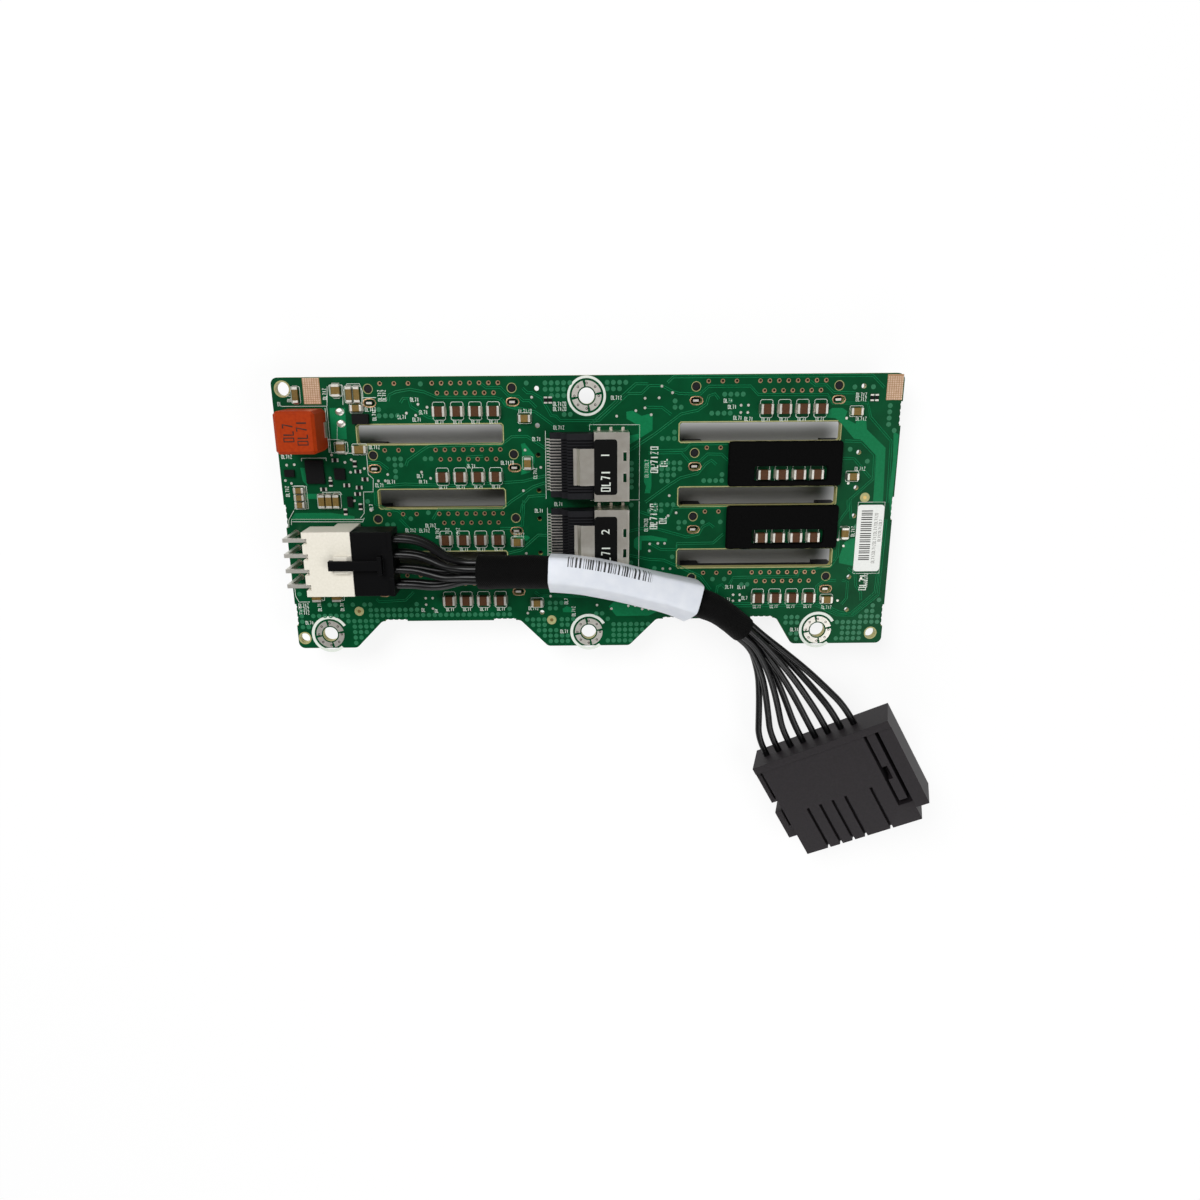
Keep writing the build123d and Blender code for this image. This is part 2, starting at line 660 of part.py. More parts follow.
def cable_plug():
    """The harness's plug: fingers in the header's pockets, a body and a latch."""
    half = HEADER_WIDTH / 2 - PLUG_SIDE_GAP
    y0 = HEADER_Y - half
    y1 = HEADER_Y + half
    z0 = HEADER_UNDER + PLUG_SIDE_GAP
    z1 = HEADER_TOP - PLUG_SIDE_GAP
    plug = block(HEADER_FACE, PLUG_END, y0, y1, z0, z1)
    half_finger = FINGER_SIZE / 2
    half_bore = FINGER_BORE / 2
    tip = HEADER_FACE - FINGER_LENGTH
    for y in HEADER_COLUMN_Y:
        for z in HEADER_ROW_Z:
            finger = (y - half_finger, y + half_finger, z - half_finger, z + half_finger)
            bore = (y - half_bore, y + half_bore, z - half_bore, z + half_bore)
            plug += block(tip, HEADER_FACE, *finger)
            plug -= block(tip, tip + FINGER_BORE_DEPTH, *bore)
    for edge, inward in ((y0, 1), (y1, -1)):
        plug += block(PLUG_END - PLUG_RIB_LENGTH, PLUG_END, edge, edge + inward * PLUG_RIB_WIDTH,
                      z1, z1 + PLUG_RIB_HEIGHT)
    return plug + plug_latch(z1)


def plug_latch(seat):
    """The rocking arm over the header's ramp, on its short pivot wall."""
    arm_low = HEADER_TOP + RAMP_HEIGHT + LATCH_GAP
    arm_high = arm_low + LATCH_THICKNESS
    hook = HEADER_FACE - RAMP_LENGTH - LATCH_GAP
    pivot = PLUG_END - LATCH_PIVOT_INSET
    half = LATCH_WIDTH / 2
    profile = [(pivot, arm_high), (hook - LATCH_HOOK, arm_high), (hook - LATCH_HOOK, HEADER_TOP + LATCH_GAP),
               (hook, HEADER_TOP + LATCH_GAP), (hook, arm_low), (pivot, arm_low)]
    arm = across(profile, HEADER_Y - half, HEADER_Y + half)
    wall = LATCH_PIVOT_WIDTH / 2
    return arm + block(pivot, pivot + LATCH_PIVOT, HEADER_Y - wall, HEADER_Y + wall, seat, arm_high)


# Far connector, drawn flat with its wire end at y = 0 and its top at z = 0


def far_plane():
    """Where the far connector lies: turned to its heading and rolled onto one edge."""
    heading = radians(FAR_HEADING)
    roll = radians(FAR_ROLL)
    along = Vector(cos(heading), sin(heading), 0)
    level = Vector(-sin(heading), cos(heading), 0)
    x_dir = level * cos(roll) + Vector(0, 0, 1) * sin(roll)
    z_dir = x_dir.cross(along * -1)
    height = (FLANGE_OVERHANG - FAR_LEFT) * sin(roll) + FAR_THICKNESS * cos(roll)
    return Plane(origin=(FAR_PLACE[0], FAR_PLACE[1], height), x_dir=x_dir, z_dir=z_dir)


def far_box(u0, u1, v0, v1, top, bottom):
    """A block of the far connector: across, along from the wire end, and down."""
    return block(u0, u1, -v0, -v1, -top, -bottom)


def far_wire_places():
    """How far across the wire end each wire goes in."""
    count = HEADER_COLUMNS * HEADER_ROWS
    return [FAR_WIRE_CENTRE + (wire - (count - 1) / 2) * FAR_WIRE_PITCH for wire in range(count)]


def far_connector():
    outer = FAR_RIGHT + GUARD_REACH
    body = far_box(FAR_LEFT, FAR_RIGHT, 0, FAR_LENGTH, 0, FAR_THICKNESS)
    body += far_box(FAR_LEFT - FLANGE_OVERHANG, outer, 0, FLANGE_DEPTH, -FLANGE_PROUD, FAR_THICKNESS)
    body += far_left_side()
    body += far_right_side(outer)
    places = far_wire_places()
    for step in GROOVE_STEPS:
        u = places[step] + FAR_WIRE_PITCH / 4
        body -= far_box(u - GROOVE_WIDTH / 2, u + GROOVE_WIDTH / 2,
                        FAR_LENGTH - GROOVE_LENGTH, FAR_LENGTH, 0, GROOVE_DEPTH)
    for u in places:
        body -= far_box(u - FAR_CAVITY_WIDTH / 2, u + FAR_CAVITY_WIDTH / 2,
                        FAR_LENGTH - FAR_CAVITY_DEPTH, FAR_LENGTH,
                        FAR_WIRE_DEPTH - FAR_CAVITY_HEIGHT / 2, FAR_WIRE_DEPTH + FAR_CAVITY_HEIGHT / 2)
    return far_plane() * body


def far_left_side():
    """The rail with its slot, and the hook below it."""
    outer = FAR_LEFT - RAIL_GAP - RAIL_THICKNESS
    low = FAR_THICKNESS - SIDE_INSET
    rail = far_box(outer, FAR_LEFT, FLANGE_DEPTH, RAIL_END, SIDE_INSET, low)
    rail -= far_box(FAR_LEFT - RAIL_GAP, FAR_LEFT, FLANGE_DEPTH, RAIL_END - RAIL_GAP, SIDE_INSET, low)
    hook = far_box(FAR_LEFT - HOOK_REACH, FAR_LEFT, HOOK_START, HOOK_END, SIDE_INSET, low)
    hook -= far_box(FAR_LEFT - RAIL_GAP, FAR_LEFT, HOOK_START, HOOK_START + HOOK_GAP_LENGTH, SIDE_INSET, low)
    return rail + hook


def far_right_side(outer):
    """The guard wall round the side latch, with the latch's lever inside it."""
    inner = outer - GUARD_THICKNESS
    inside_end = GUARD_END - GUARD_WALL
    guard = far_box(FAR_RIGHT, outer, FLANGE_DEPTH, GUARD_END, 0, FAR_THICKNESS)
    guard += far_box(FAR_RIGHT, inner, GUARD_END, FAR_LENGTH, 0, FAR_THICKNESS)
    guard -= far_box(FAR_RIGHT, inner, FLANGE_DEPTH, inside_end, 0, GUARD_CUT_DEPTH)
    near = FAR_RIGHT + LEVER_GAP
    lever = far_box(near, near + LEVER_WIDTH, FLANGE_DEPTH, LEVER_END, LEVER_GAP, GUARD_CUT_DEPTH)
    notch_end = LEVER_NOTCH_START + LEVER_NOTCH_LENGTH
    lever -= far_box(near, near + LEVER_NOTCH_WIDTH, LEVER_NOTCH_START, notch_end, LEVER_GAP, GUARD_CUT_DEPTH)
    return guard + lever


def far_terminals():
    """The socket contacts at the back of the far connector's cavities."""
    terminals = []
    start = FAR_LENGTH - FAR_CAVITY_DEPTH
    end = FAR_LENGTH - FAR_TERMINAL_INSET
    half = FAR_TERMINAL_WIDTH / 2
    tall = FAR_TERMINAL_HEIGHT / 2
    bore = FAR_TERMINAL_BORE / 2
    for u in far_wire_places():
        terminal = far_box(u - half, u + half, start, end, FAR_WIRE_DEPTH - tall, FAR_WIRE_DEPTH + tall)
        terminal -= far_box(u - bore, u + bore, start + 1, end, FAR_WIRE_DEPTH - bore, FAR_WIRE_DEPTH + bore)
        terminals.append(far_plane() * terminal)
    return terminals


# Harness


def turn_radii(points):
    """The largest arc that each corner's two runs allow."""
    radii = []
    for before, corner, after in zip(points, points[1:], points[2:]):
        first = Vector(*corner) - Vector(*before)
        second = Vector(*after) - Vector(*corner)
        turn = radians(first.get_angle(second))
        radii.append(TURN_SHARE * min(first.length, second.length) / tan(turn / 2))
    return radii


def tube(name, points, radii, outer, inner=0.0):
    """A round cord along straight runs joined by tangent arcs."""
    path = FilletPolyline(*points, radius=radii)
    start = Plane(origin=path @ 0, z_dir=path % 0)
    section = Circle(outer / 2)
    if inner:
        section -= Circle(inner / 2)
    cord = sweep(start * section, path)
    full = section.area * path.length
    rounded = [round(radius, 1) for radius in radii]
    share = round(cord.volume / full, 4)
    print(name, "length", round(path.length, 1), "volume share", share, "radii", rounded)
    return cord


def sleeve_points():
    return [Vector(x, y, REAR_FACE + z) for x, y, z in SLEEVE_ROUTE]


def bundle_places(end, forward):
    """Centres of the wires across a sleeve's end: a ring from below, then the middle."""
    left = Vector(0, 0, 1).cross(forward).normalized()
    up = forward.cross(left)
    count = HEADER_COLUMNS * HEADER_ROWS - 1
    turns = [2 * pi * place / count - pi / 2 for place in range(count)]
    ring = [end + left * (BUNDLE_RING * cos(turn)) + up * (BUNDLE_RING * sin(turn)) for turn in turns]
    return ring + [end]


def near_route(wire, start, entry, forward):
    """From the plug to the sleeve in an easy double bend that sags a little."""
    sag = NEAR_SAG[wire % HEADER_COLUMNS]
    span = entry.X - start.X
    points = [start]
    for part, share, dip in ((0.2, 0.0, 0.0), (0.4, 0.25, 0.8), (0.6, 0.75, 1.0), (0.8, 1.0, 0.0)):
        point = start + (entry - start) * share
        point.X = start.X + part * span
        point.Y -= sag * dip
        points.append(point)
    before = entry - forward * (0.2 * span / forward.X)
    points[-1] = before
    return points + [entry]


def far_route(start, forward, end, along, reach):
    """From the sleeve to the far connector, leaving and arriving square to each."""
    first = start + forward * reach
    second = end - along * FAR_REACH

    def curve(t):
        s = 1 - t
        return start * s ** 3 + first * (3 * s * s * t) + second * (3 * s * t * t) + end * t ** 3

    middle = [curve(t) for t in (0.33, 0.5, 0.67)]
    return [start, start + forward * FAR_LEAD] + middle + [end - along * FAR_LEAD, end]


def power_wires():
    """Each wire in two visible lengths: plug to sleeve and sleeve to far connector."""
    sleeve = sleeve_points()
    near_forward = (sleeve[1] - sleeve[0]).normalized()
    far_forward = (sleeve[-1] - sleeve[-2]).normalized()
    near_ring = bundle_places(sleeve[0], near_forward)
    far_ring = bundle_places(sleeve[-1], far_forward)
    plane = far_plane()
    along = plane.y_dir * -1
    ends = [plane.origin + plane.x_dir * u - plane.z_dir * FAR_WIRE_DEPTH for u in far_wire_places()]
    wires = []
    for wire, place in enumerate(NEAR_PLACES):
        row, column = divmod(wire, HEADER_COLUMNS)
        start = Vector(PLUG_END, HEADER_COLUMN_Y[column], HEADER_ROW_Z[row])
        near = near_route(wire, start, near_ring[place], near_forward)
        slot_number = FAR_PLACES[wire]
        reach = FAR_REACH + FAR_EXTRA_REACH * (1 - slot_number / 7)
        far = far_route(far_ring[place], far_forward, ends[slot_number], along, reach)
        name = "power_wire_" + str(wire + 1)
        wires.append([tube(name, route, turn_radii(route), WIRE_DIAMETER) for route in (near, far)])
    return wires


def cable_sleeve():
    points = sleeve_points()
    return tube("cable_sleeve", points, turn_radii(points), SLEEVE_DIAMETER)


def cable_label():
    """The printed wrap over the sleeve, from the middle of one run to another's."""
    points = sleeve_points()
    radii = turn_radii(points)[WRAP_FIRST_CORNER - 1:WRAP_LAST_CORNER]
    first = (points[WRAP_FIRST_CORNER - 1] + points[WRAP_FIRST_CORNER]) * 0.5
    last = (points[WRAP_LAST_CORNER] + points[WRAP_LAST_CORNER + 1]) * 0.5
    route = [first] + points[WRAP_FIRST_CORNER:WRAP_LAST_CORNER + 1] + [last]
    return tube("cable_label", route, radii, WRAP_DIAMETER, SLEEVE_DIAMETER + 2 * WRAP_CLEARANCE)


# Parts on the rear face


def power_inductor():
    x0 = LEFT + INDUCTOR_LEFT_INSET
    y1 = TOP - INDUCTOR_TOP_INSET
    body = block(x0, x0 + INDUCTOR_LENGTH, y1 - INDUCTOR_WIDTH, y1, REAR_FACE, REAR_FACE + INDUCTOR_HEIGHT)
    edges = body.edges().filter_by(Axis.Z) + body.faces().sort_by(Axis.Z)[-1].edges()
    return chamfer(edges, INDUCTOR_EDGE)


def inductor_terminals():
    """The two metal clips on the inductor's sides."""
    middle_y = TOP - INDUCTOR_TOP_INSET - INDUCTOR_WIDTH / 2
    x0 = LEFT + INDUCTOR_LEFT_INSET
    clips = []
    for x, outward in ((x0, -1), (x0 + INDUCTOR_LENGTH, 1)):
        clips.append(block(x, x + outward * TERMINAL_THICKNESS, middle_y - TERMINAL_WIDTH / 2,
                           middle_y + TERMINAL_WIDTH / 2, REAR_FACE, REAR_FACE + TERMINAL_HEIGHT))
    return clips


def foam_pad(row):
    """A soft pad over a right-hand bay's row, open over its capacitors."""
    x = BAY_X[1] + FOAM_OFFSET
    y = ROW_Y[row] - FOAM_DROP
    pad = slot(x, y, FOAM_LENGTH, FOAM_WIDTH, FOAM_CORNER)
    pad -= slot(x + FOAM_WINDOW_OFFSET, y - FOAM_WINDOW_DROP, FOAM_WINDOW_LENGTH, FOAM_WINDOW_WIDTH,
                FOAM_CORNER / 2)
    return upright(pad, REAR_FACE, FOAM_HEIGHT)


def chip(x, y, size, turned=False):
    """A flat part on the rear face: length along X, or along Y when it is turned."""
    length, width, height = size
    if turned:
        length, width = width, length
    return block(x - length / 2, x + length / 2, y - width / 2, y + width / 2, REAR_FACE, REAR_FACE + height)


def capacitor(x, y, size, turned=False):
    """A ceramic body and the two metal ends on it."""
    length, width, height = size
    inner = length - 2 * CAP_END_LENGTH
    offset = (length - CAP_END_LENGTH) / 2
    body = chip(x, y, (inner, width, height), turned)
    ends = []
    for side in (-1, 1):
        along = side * offset
        place = (x, y + along) if turned else (x + along, y)
        ends.append(chip(*place, (CAP_END_LENGTH, width, height), turned))
    return body, ends


def bay_capacitors():
    found = []
    for centre, first in zip(BAY_X, BAY_CAP_FIRST):
        for y in ROW_Y:
            for step in range(BAY_CAP_COUNT):
                found.append(capacitor(centre + first + step * BAY_CAP_PITCH, y - BAY_CAP_DROP, BAY_CAP_SIZE))
    return found


def small_capacitors():
    """Single capacitors beside the bays, and those round the controller and header."""
    found = []
    for centre, places in zip(BAY_X, LONE_CAP_PLACES):
        for y, (x, drop, turned) in zip(ROW_Y, places):
            found.append(capacitor(centre + x, y - drop, LONE_CAP_SIZE, turned))
    for step in range(STACK_COUNT):
        along = step * STACK_PITCH
        found.append(capacitor(LEFT + STACK_INSET, TOP - STACK_DROP - along, STACK_CAP_SIZE))
        found.append(capacitor(LEFT + ROW_OF_CAPS_INSET + along, TOP - ROW_OF_CAPS_DROP, ROW_CAP_SIZE, True))
    for x in TALL_CAP_INSETS:
        found.append(capacitor(LEFT + x, TOP - TALL_CAP_DROP, TALL_CAP_SIZE, True))
    for x, drop, size, turned in FILTER_CAPS:
        found.append(capacitor(LEFT + x, TOP - drop, size, turned))
    for x in HEADER_CAP_INSETS:
        found.append(capacitor(LEFT + x, HEADER_Y - HEADER_CAP_DROP, HEADER_CAP_SIZE, True))
    return found


def placed_chips(places, size=None):
    """Chips at an inset from the left edge and a drop from the top, of their own size or a common one."""
    chips = []
    for inset, drop, own, turned in places:
        chips.append(chip(LEFT + inset, TOP - drop, own or size, turned))
    return chips


def chip_resistors():
    parts = placed_chips(RESISTORS, RESISTOR_SIZE)
    for centre in BAY_X:
        for step in BAY_RESISTOR_OFFSETS:
            parts.append(chip(centre + step, TOP - BAY_RESISTOR_DROP, RESISTOR_SIZE, True))
    return parts


def board_label():
    label = slot(RIGHT - STICKER_INSET, TOP - STICKER_DROP, STICKER_WIDTH, STICKER_LENGTH, STICKER_CORNER)
    return upright(label, REAR_FACE, LABEL_THICKNESS)


def write_parts():
    os.makedirs("parts", exist_ok=True)
    save("circuit_board", circuit_board())
    connector = drive_connector()
    contacts = drive_contacts()
    bays = [(x, y) for x in BAY_X for y in ROW_Y]
    for number, (x, y) in enumerate(bays, 1):
        place = Pos(x, y, 0)
        save("drive_connector_" + str(number), place * connector)
        save("drive_contacts_" + str(number), *[place * contact for contact in contacts])
    save("drive_board_locks", *board_locks())
    for number, y in enumerate(PORT_CENTRES, 1):
        place = Pos(0, y, REAR_FACE)
        port = "port_" + str(number)
        save(port + "_housing", place * port_housing())
        save(port + "_contacts", *[place * contact for contact in port_contacts()])
        save(port + "_shell", place * port_shell())
        save(port + "_label", place * port_label())
    save("power_header", power_header())
    save("header_pins", *header_pins())
    save("cable_plug", cable_plug())
    for number, lengths in enumerate(power_wires(), 1):
        save("power_wire_" + str(number), *lengths)
    save("cable_sleeve", cable_sleeve())
    save("cable_label", cable_label())
    save("far_connector", far_connector())
    save("far_terminals", *far_terminals())
    save("power_inductor", power_inductor())
    save("inductor_terminals", *inductor_terminals())
    save("foam_pad_upper", foam_pad(1))
    save("foam_pad_lower", foam_pad(2))
    for name, found in (("bay", bay_capacitors()), ("small", small_capacitors())):
        save(name + "_capacitors", *[body for body, _ in found])
        save(name + "_capacitor_ends", *[end for _, ends in found for end in ends])
    save("controller_ic", *placed_chips([CONTROLLER]))
    save("small_ics", *placed_chips(SMALL_ICS))
    save("power_diode", *placed_chips([POWER_DIODE]))
    save("chip_resistors", *chip_resistors())
    save("board_label", board_label())


write_parts()
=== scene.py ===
"""Looks of a drive backplane board with a cable harness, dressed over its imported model."""

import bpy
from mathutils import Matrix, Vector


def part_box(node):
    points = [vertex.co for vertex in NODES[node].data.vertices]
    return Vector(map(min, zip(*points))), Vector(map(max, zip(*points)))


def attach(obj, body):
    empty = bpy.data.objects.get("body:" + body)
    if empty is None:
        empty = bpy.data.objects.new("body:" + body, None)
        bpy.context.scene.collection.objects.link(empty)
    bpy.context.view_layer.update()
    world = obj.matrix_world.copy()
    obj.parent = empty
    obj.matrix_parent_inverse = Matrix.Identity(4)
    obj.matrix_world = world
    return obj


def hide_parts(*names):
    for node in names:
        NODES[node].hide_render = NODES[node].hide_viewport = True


bl_info = {
    "name": "Drive Backplane Board",
    "version": (1, 0, 0),
    "blender": (4, 5, 0),
    "location": "View3D > Sidebar > Backplane",
    "description": "Builds the printed board, its ports, header and sleeved harness over the packed model",
    "category": "Object",
}

from contextlib import contextmanager
from math import cos, pi, radians, sin

import bmesh
import bpy
from mathutils import Matrix, Vector

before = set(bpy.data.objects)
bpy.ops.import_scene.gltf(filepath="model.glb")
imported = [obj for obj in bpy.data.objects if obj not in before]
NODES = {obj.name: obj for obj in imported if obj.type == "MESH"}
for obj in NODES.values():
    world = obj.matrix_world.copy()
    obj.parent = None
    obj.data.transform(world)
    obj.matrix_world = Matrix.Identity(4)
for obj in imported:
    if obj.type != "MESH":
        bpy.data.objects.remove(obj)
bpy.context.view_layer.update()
MM = 0.001

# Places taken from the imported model, in millimetres


def box_mm(node):
    low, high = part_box(node)
    return low / MM, high / MM


REAR = box_mm("circuit_board")[1].z
CONNECTORS = [box_mm("drive_connector_" + str(number)) for number in range(1, 9)]
BAY_X = [(low.x + high.x) / 2 for low, high in (CONNECTORS[0], CONNECTORS[4])]
PEG_DROP = 2.8
ROW_Y = [high.y - PEG_DROP for low, high in CONNECTORS[:4]]
PEG_REACH = 19.35
PLUG_END = box_mm("cable_plug")[1].x
HEADER_LOW, HEADER_HIGH = box_mm("power_header")
HEADER_Y = (HEADER_LOW.y + HEADER_HIGH.y) / 2
HEADER_PITCH = 4.2
HEADER_ROWS = (11.8, 7.6)

# The harness's route, as the part's source has it: x, y and height above the rear face
SLEEVE_ROUTE = (
    (-30.6, -13.2, 11.0),
    (-24.8, -13.15, 11.85),
    (-16.0, -12.85, 13.3),
    (-6.0, -13.0, 14.2),
    (4.0, -14.6, 14.35),
    (14.0, -17.25, 13.6),
    (24.0, -20.2, 11.3),
    (33.0, -23.8, 8.7),
    (38.5, -27.1, 6.6),
    (44.0, -32.2, 4.5),
)
# Bends of each wire between plug and sleeve, from the plug's end face and the header's middle
NEAR_BENDS = (
    ((9.1, 4.6, 11.7), (13.6, 1.2, 11.6)),
    ((9.0, 0.9, 12.2), (13.5, -1.2, 12.9)),
    ((9.0, -3.2, 12.2), (13.5, -4.4, 12.9)),
    ((9.1, -7.0, 11.7), (13.6, -6.8, 11.6)),
    ((9.2, 4.5, 8.0), (13.8, 0.9, 8.9)),
    ((9.1, 0.6, 8.4), (13.7, -2.0, 10.1)),
    ((9.3, -3.0, 7.8), (13.9, -3.6, 8.2)),
    ((9.2, -6.9, 8.0), (13.8, -6.4, 8.9)),
)
# Bends of each wire between sleeve and far connector
FAR_BENDS = (
    ((57.0, -39.8, 3.2), (63.2, -44.8, 3.3), (69.1, -50.2, 3.7)),
    ((55.3, -42.2, 3.7), (59.9, -47.8, 2.7), (64.1, -53.6, 2.2)),
    ((52.2, -45.5, 2.5), (54.6, -52.0, 0.7), (56.5, -58.6, -0.7)),
    ((50.6, -46.7, 0.8), (52.4, -53.5, -0.9), (53.7, -60.3, -2.1)),
    ((55.8, -40.4, 1.2), (61.3, -46.0, 1.5), (66.5, -51.7, 2.2)),
    ((53.7, -43.2, 1.6), (57.7, -49.1, 0.9), (61.4, -55.2, 0.6)),
    ((52.7, -43.5, -0.7), (56.0, -50.0, -1.0), (58.8, -56.6, -1.0)),
    ((49.9, -46.8, -1.2), (50.8, -54.3, -2.6), (51.2, -61.7, -3.6)),
)
# Where each wire sits in the sleeve's ring, counted from below, and in the far connector
RING_PLACES = (2, 3, 4, 5, 1, 7, 0, 6)
FAR_PLACES = (7, 5, 2, 1, 6, 4, 3, 0)
NEAR_LEAD = 4.55
FAR_LEAD = 6.0
FAR_POINT = Vector((66.6, -68.1, 16.685))
FAR_ALONG = Vector((cos(radians(-60.6)), sin(radians(-60.6)), 0))
FAR_LEVEL = Vector((-FAR_ALONG.y, FAR_ALONG.x, 0))
FAR_ACROSS = FAR_LEVEL * cos(radians(17.5)) + Vector((0, 0, 1)) * sin(radians(17.5))
FAR_UP = FAR_ACROSS.cross(-FAR_ALONG)
FAR_WIRE_PITCH = 4.1
FAR_WIRE_CENTRE = -2.0
FAR_WIRE_DEPTH = 5.5

# Small helpers


def colour(code):
    """An sRGB hex code as linear RGBA."""
    parts = [int(code[i:i + 2], 16) / 255 for i in (1, 3, 5)]
    linear = [c / 12.92 if c <= 0.04045 else ((c + 0.055) / 1.055) ** 2.4 for c in parts]
    return (*linear, 1.0)


def add(tree, kind, inputs=None, **settings):
    """Adds one shader node; inputs are values or the sockets that feed them."""
    made = tree.nodes.new(kind)
    for name, value in settings.items():
        setattr(made, name, value)
    for name, value in (inputs or {}).items():
        socket = made.inputs[name]
        if isinstance(value, bpy.types.NodeSocket):
            tree.links.new(value, socket)
        else:
            socket.default_value = value
    return made


def calculated(tree, operation, *values):
    """The result of one math node; values are numbers or sockets."""
    return add(tree, "ShaderNodeMath", dict(enumerate(values)), operation=operation).outputs[0]


def blend(tree, share, low, high):
    """The mix of two colours, each a hex code or a socket."""
    low, high = [colour(end) if isinstance(end, str) else end for end in (low, high)]
    return add(tree, "ShaderNodeMix", {0: share, 6: low, 7: high}, data_type="RGBA").outputs[2]


def finish(name, base, roughness, metallic=0.0, **sockets):
    """A new material with its shader set; returns the material, its tree and its shader."""
    material = bpy.data.materials.new(name)
    material.use_nodes = True
    tree = material.node_tree
    shader = tree.nodes["Principled BSDF"]
    shader.inputs["Base Color"].default_value = colour(base)
    shader.inputs["Roughness"].default_value = roughness
    shader.inputs["Metallic"].default_value = metallic
    for socket, value in sockets.items():
        shader.inputs[socket.replace("_", " ")].default_value = value
    return material, tree, shader


def dress(node, material):
    """Gives a CAD node, or a new piece, one material in every slot."""
    piece = NODES[node] if isinstance(node, str) else node
    piece.data.materials.clear()
    piece.data.materials.append(material)
    return piece


def measure(label, description, millimetres):
    """A length kept on the scene that can be changed there."""
    return bpy.props.FloatProperty(
        name=label, description=description, default=millimetres * MM, unit="LENGTH")


# Finishes


def object_coords(tree):
    return add(tree, "ShaderNodeTexCoord").outputs["Object"]


def noise(tree, scale, detail=3.0):
    """A noise in the piece's own coordinates."""
    inputs = {"Vector": object_coords(tree), "Scale": scale, "Detail": detail}
    return add(tree, "ShaderNodeTexNoise", inputs).outputs["Fac"]


def surfaced(tree, shader, base, height, strength, distance):
    """Feeds the shader's base colour, and a bump whose distance is in metres."""
    tree.links.new(base, shader.inputs["Base Color"])
    bump = add(tree, "ShaderNodeBump", {"Height": height, "Strength": strength, "Distance": distance})
    tree.links.new(bump.outputs["Normal"], shader.inputs["Normal"])


def cloudy(name, low, high, roughness, scale, strength, distance, metallic=0.0, **sockets):
    """A finish that drifts between two hex codes over a noise, which is its fine relief too."""
    material, tree, shader = finish(name, high, roughness, metallic, **sockets)
    drift = noise(tree, scale)
    surfaced(tree, shader, blend(tree, drift, low, high), drift, strength, distance)
    return material


def solder_mask():
    """Green liquid mask over copper and glass cloth: deep green and glossy, with tan laminate on edges."""
    material, tree, shader = finish("Green solder mask", "#00542F", 0.34, Specular_IOR_Level=0.10)
    # Inner copper planes show through as slow changes a few millimetres across
    planes, weave = noise(tree, 160.0, 2.0), noise(tree, 2600.0, 1.0)
    # Laminate shows wherever the surface isn't facing up or down
    normal = add(tree, "ShaderNodeNewGeometry").outputs["Normal"]
    facing = add(tree, "ShaderNodeSeparateXYZ", {"Vector": normal}).outputs["Z"]
    masked = calculated(tree, "GREATER_THAN", calculated(tree, "ABSOLUTE", facing), 0.5)
    edge = blend(tree, weave, "#A39A55", "#C9C48A")
    skin = blend(tree, masked, edge, blend(tree, planes, "#003219", "#00502C"))
    surfaced(tree, shader, skin, weave, 0.12, 0.00003)
    return material


def moulded(name, low, high, roughness, shine=0.3):
    """Moulded thermoplastic: even colour, the tool's fine spark-eroded grain and a soft sheen."""
    return cloudy(name, low, high, roughness, 1500.0, 0.35, 0.00004, Specular_IOR_Level=shine)


def plated(name, low, high, roughness, scale=900.0):
    """Plated or tinned metal: bright, with cloudy patches and fine rolling marks."""
    return cloudy(name, low, high, roughness, scale, 0.2, 0.00002, 1.0)


def fired_ceramic(name, low, high):
    """Sintered ceramic capacitor body: matt, with darker specks from glazing."""
    return cloudy(name, low, high, 0.45, 2200.0, 0.2, 0.00003, Specular_IOR_Level=0.2)


def plain_sheet(name, low, high, roughness, shine=0.35):
    """Paper or film with a faint fibre or orange-peel."""
    return cloudy(name, low, high, roughness, 1800.0, 0.1, 0.00002, Specular_IOR_Level=shine)


def soft_foam():
    """Closed-cell foam with a black skin: matt, with shallow pores."""
    material, tree, shader = finish("Black skinned foam", "#040404", 0.85, Specular_IOR_Level=0.08)
    pores = add(tree, "ShaderNodeTexVoronoi", {"Vector": object_coords(tree), "Scale": 1100.0})
    skin = blend(tree, noise(tree, 1400.0), "#010101", "#060606")
    surfaced(tree, shader, skin, pores.outputs["Distance"], 0.5, 0.0002)
    return material


def braided_cloth():
    """Woven tube of black yarn about 0.5 mm wide: dull, with crossing ridges that catch the light."""
    material, tree, shader = finish("Black braided cloth", "#070707", 0.7, Sheen_Weight=0.02,
                                    Specular_IOR_Level=0.08)
    uv = add(tree, "ShaderNodeTexCoord").outputs["UV"]
    ridges = []
    for turn in (radians(32), radians(-32)):
        turned = {"Vector": uv, "Rotation": (0, 0, turn), "Scale": (60, 21, 1)}
        placed = add(tree, "ShaderNodeMapping", turned).outputs[0]
        wave = add(tree, "ShaderNodeTexWave", {"Vector": placed, "Scale": 1.0, "Distortion": 0.6})
        ridges.append(wave.outputs["Fac"])
    weave = calculated(tree, "MULTIPLY", *ridges)
    surfaced(tree, shader, blend(tree, weave, "#010101", "#0A0909"), weave, 0.6, 0.00025)
    return material


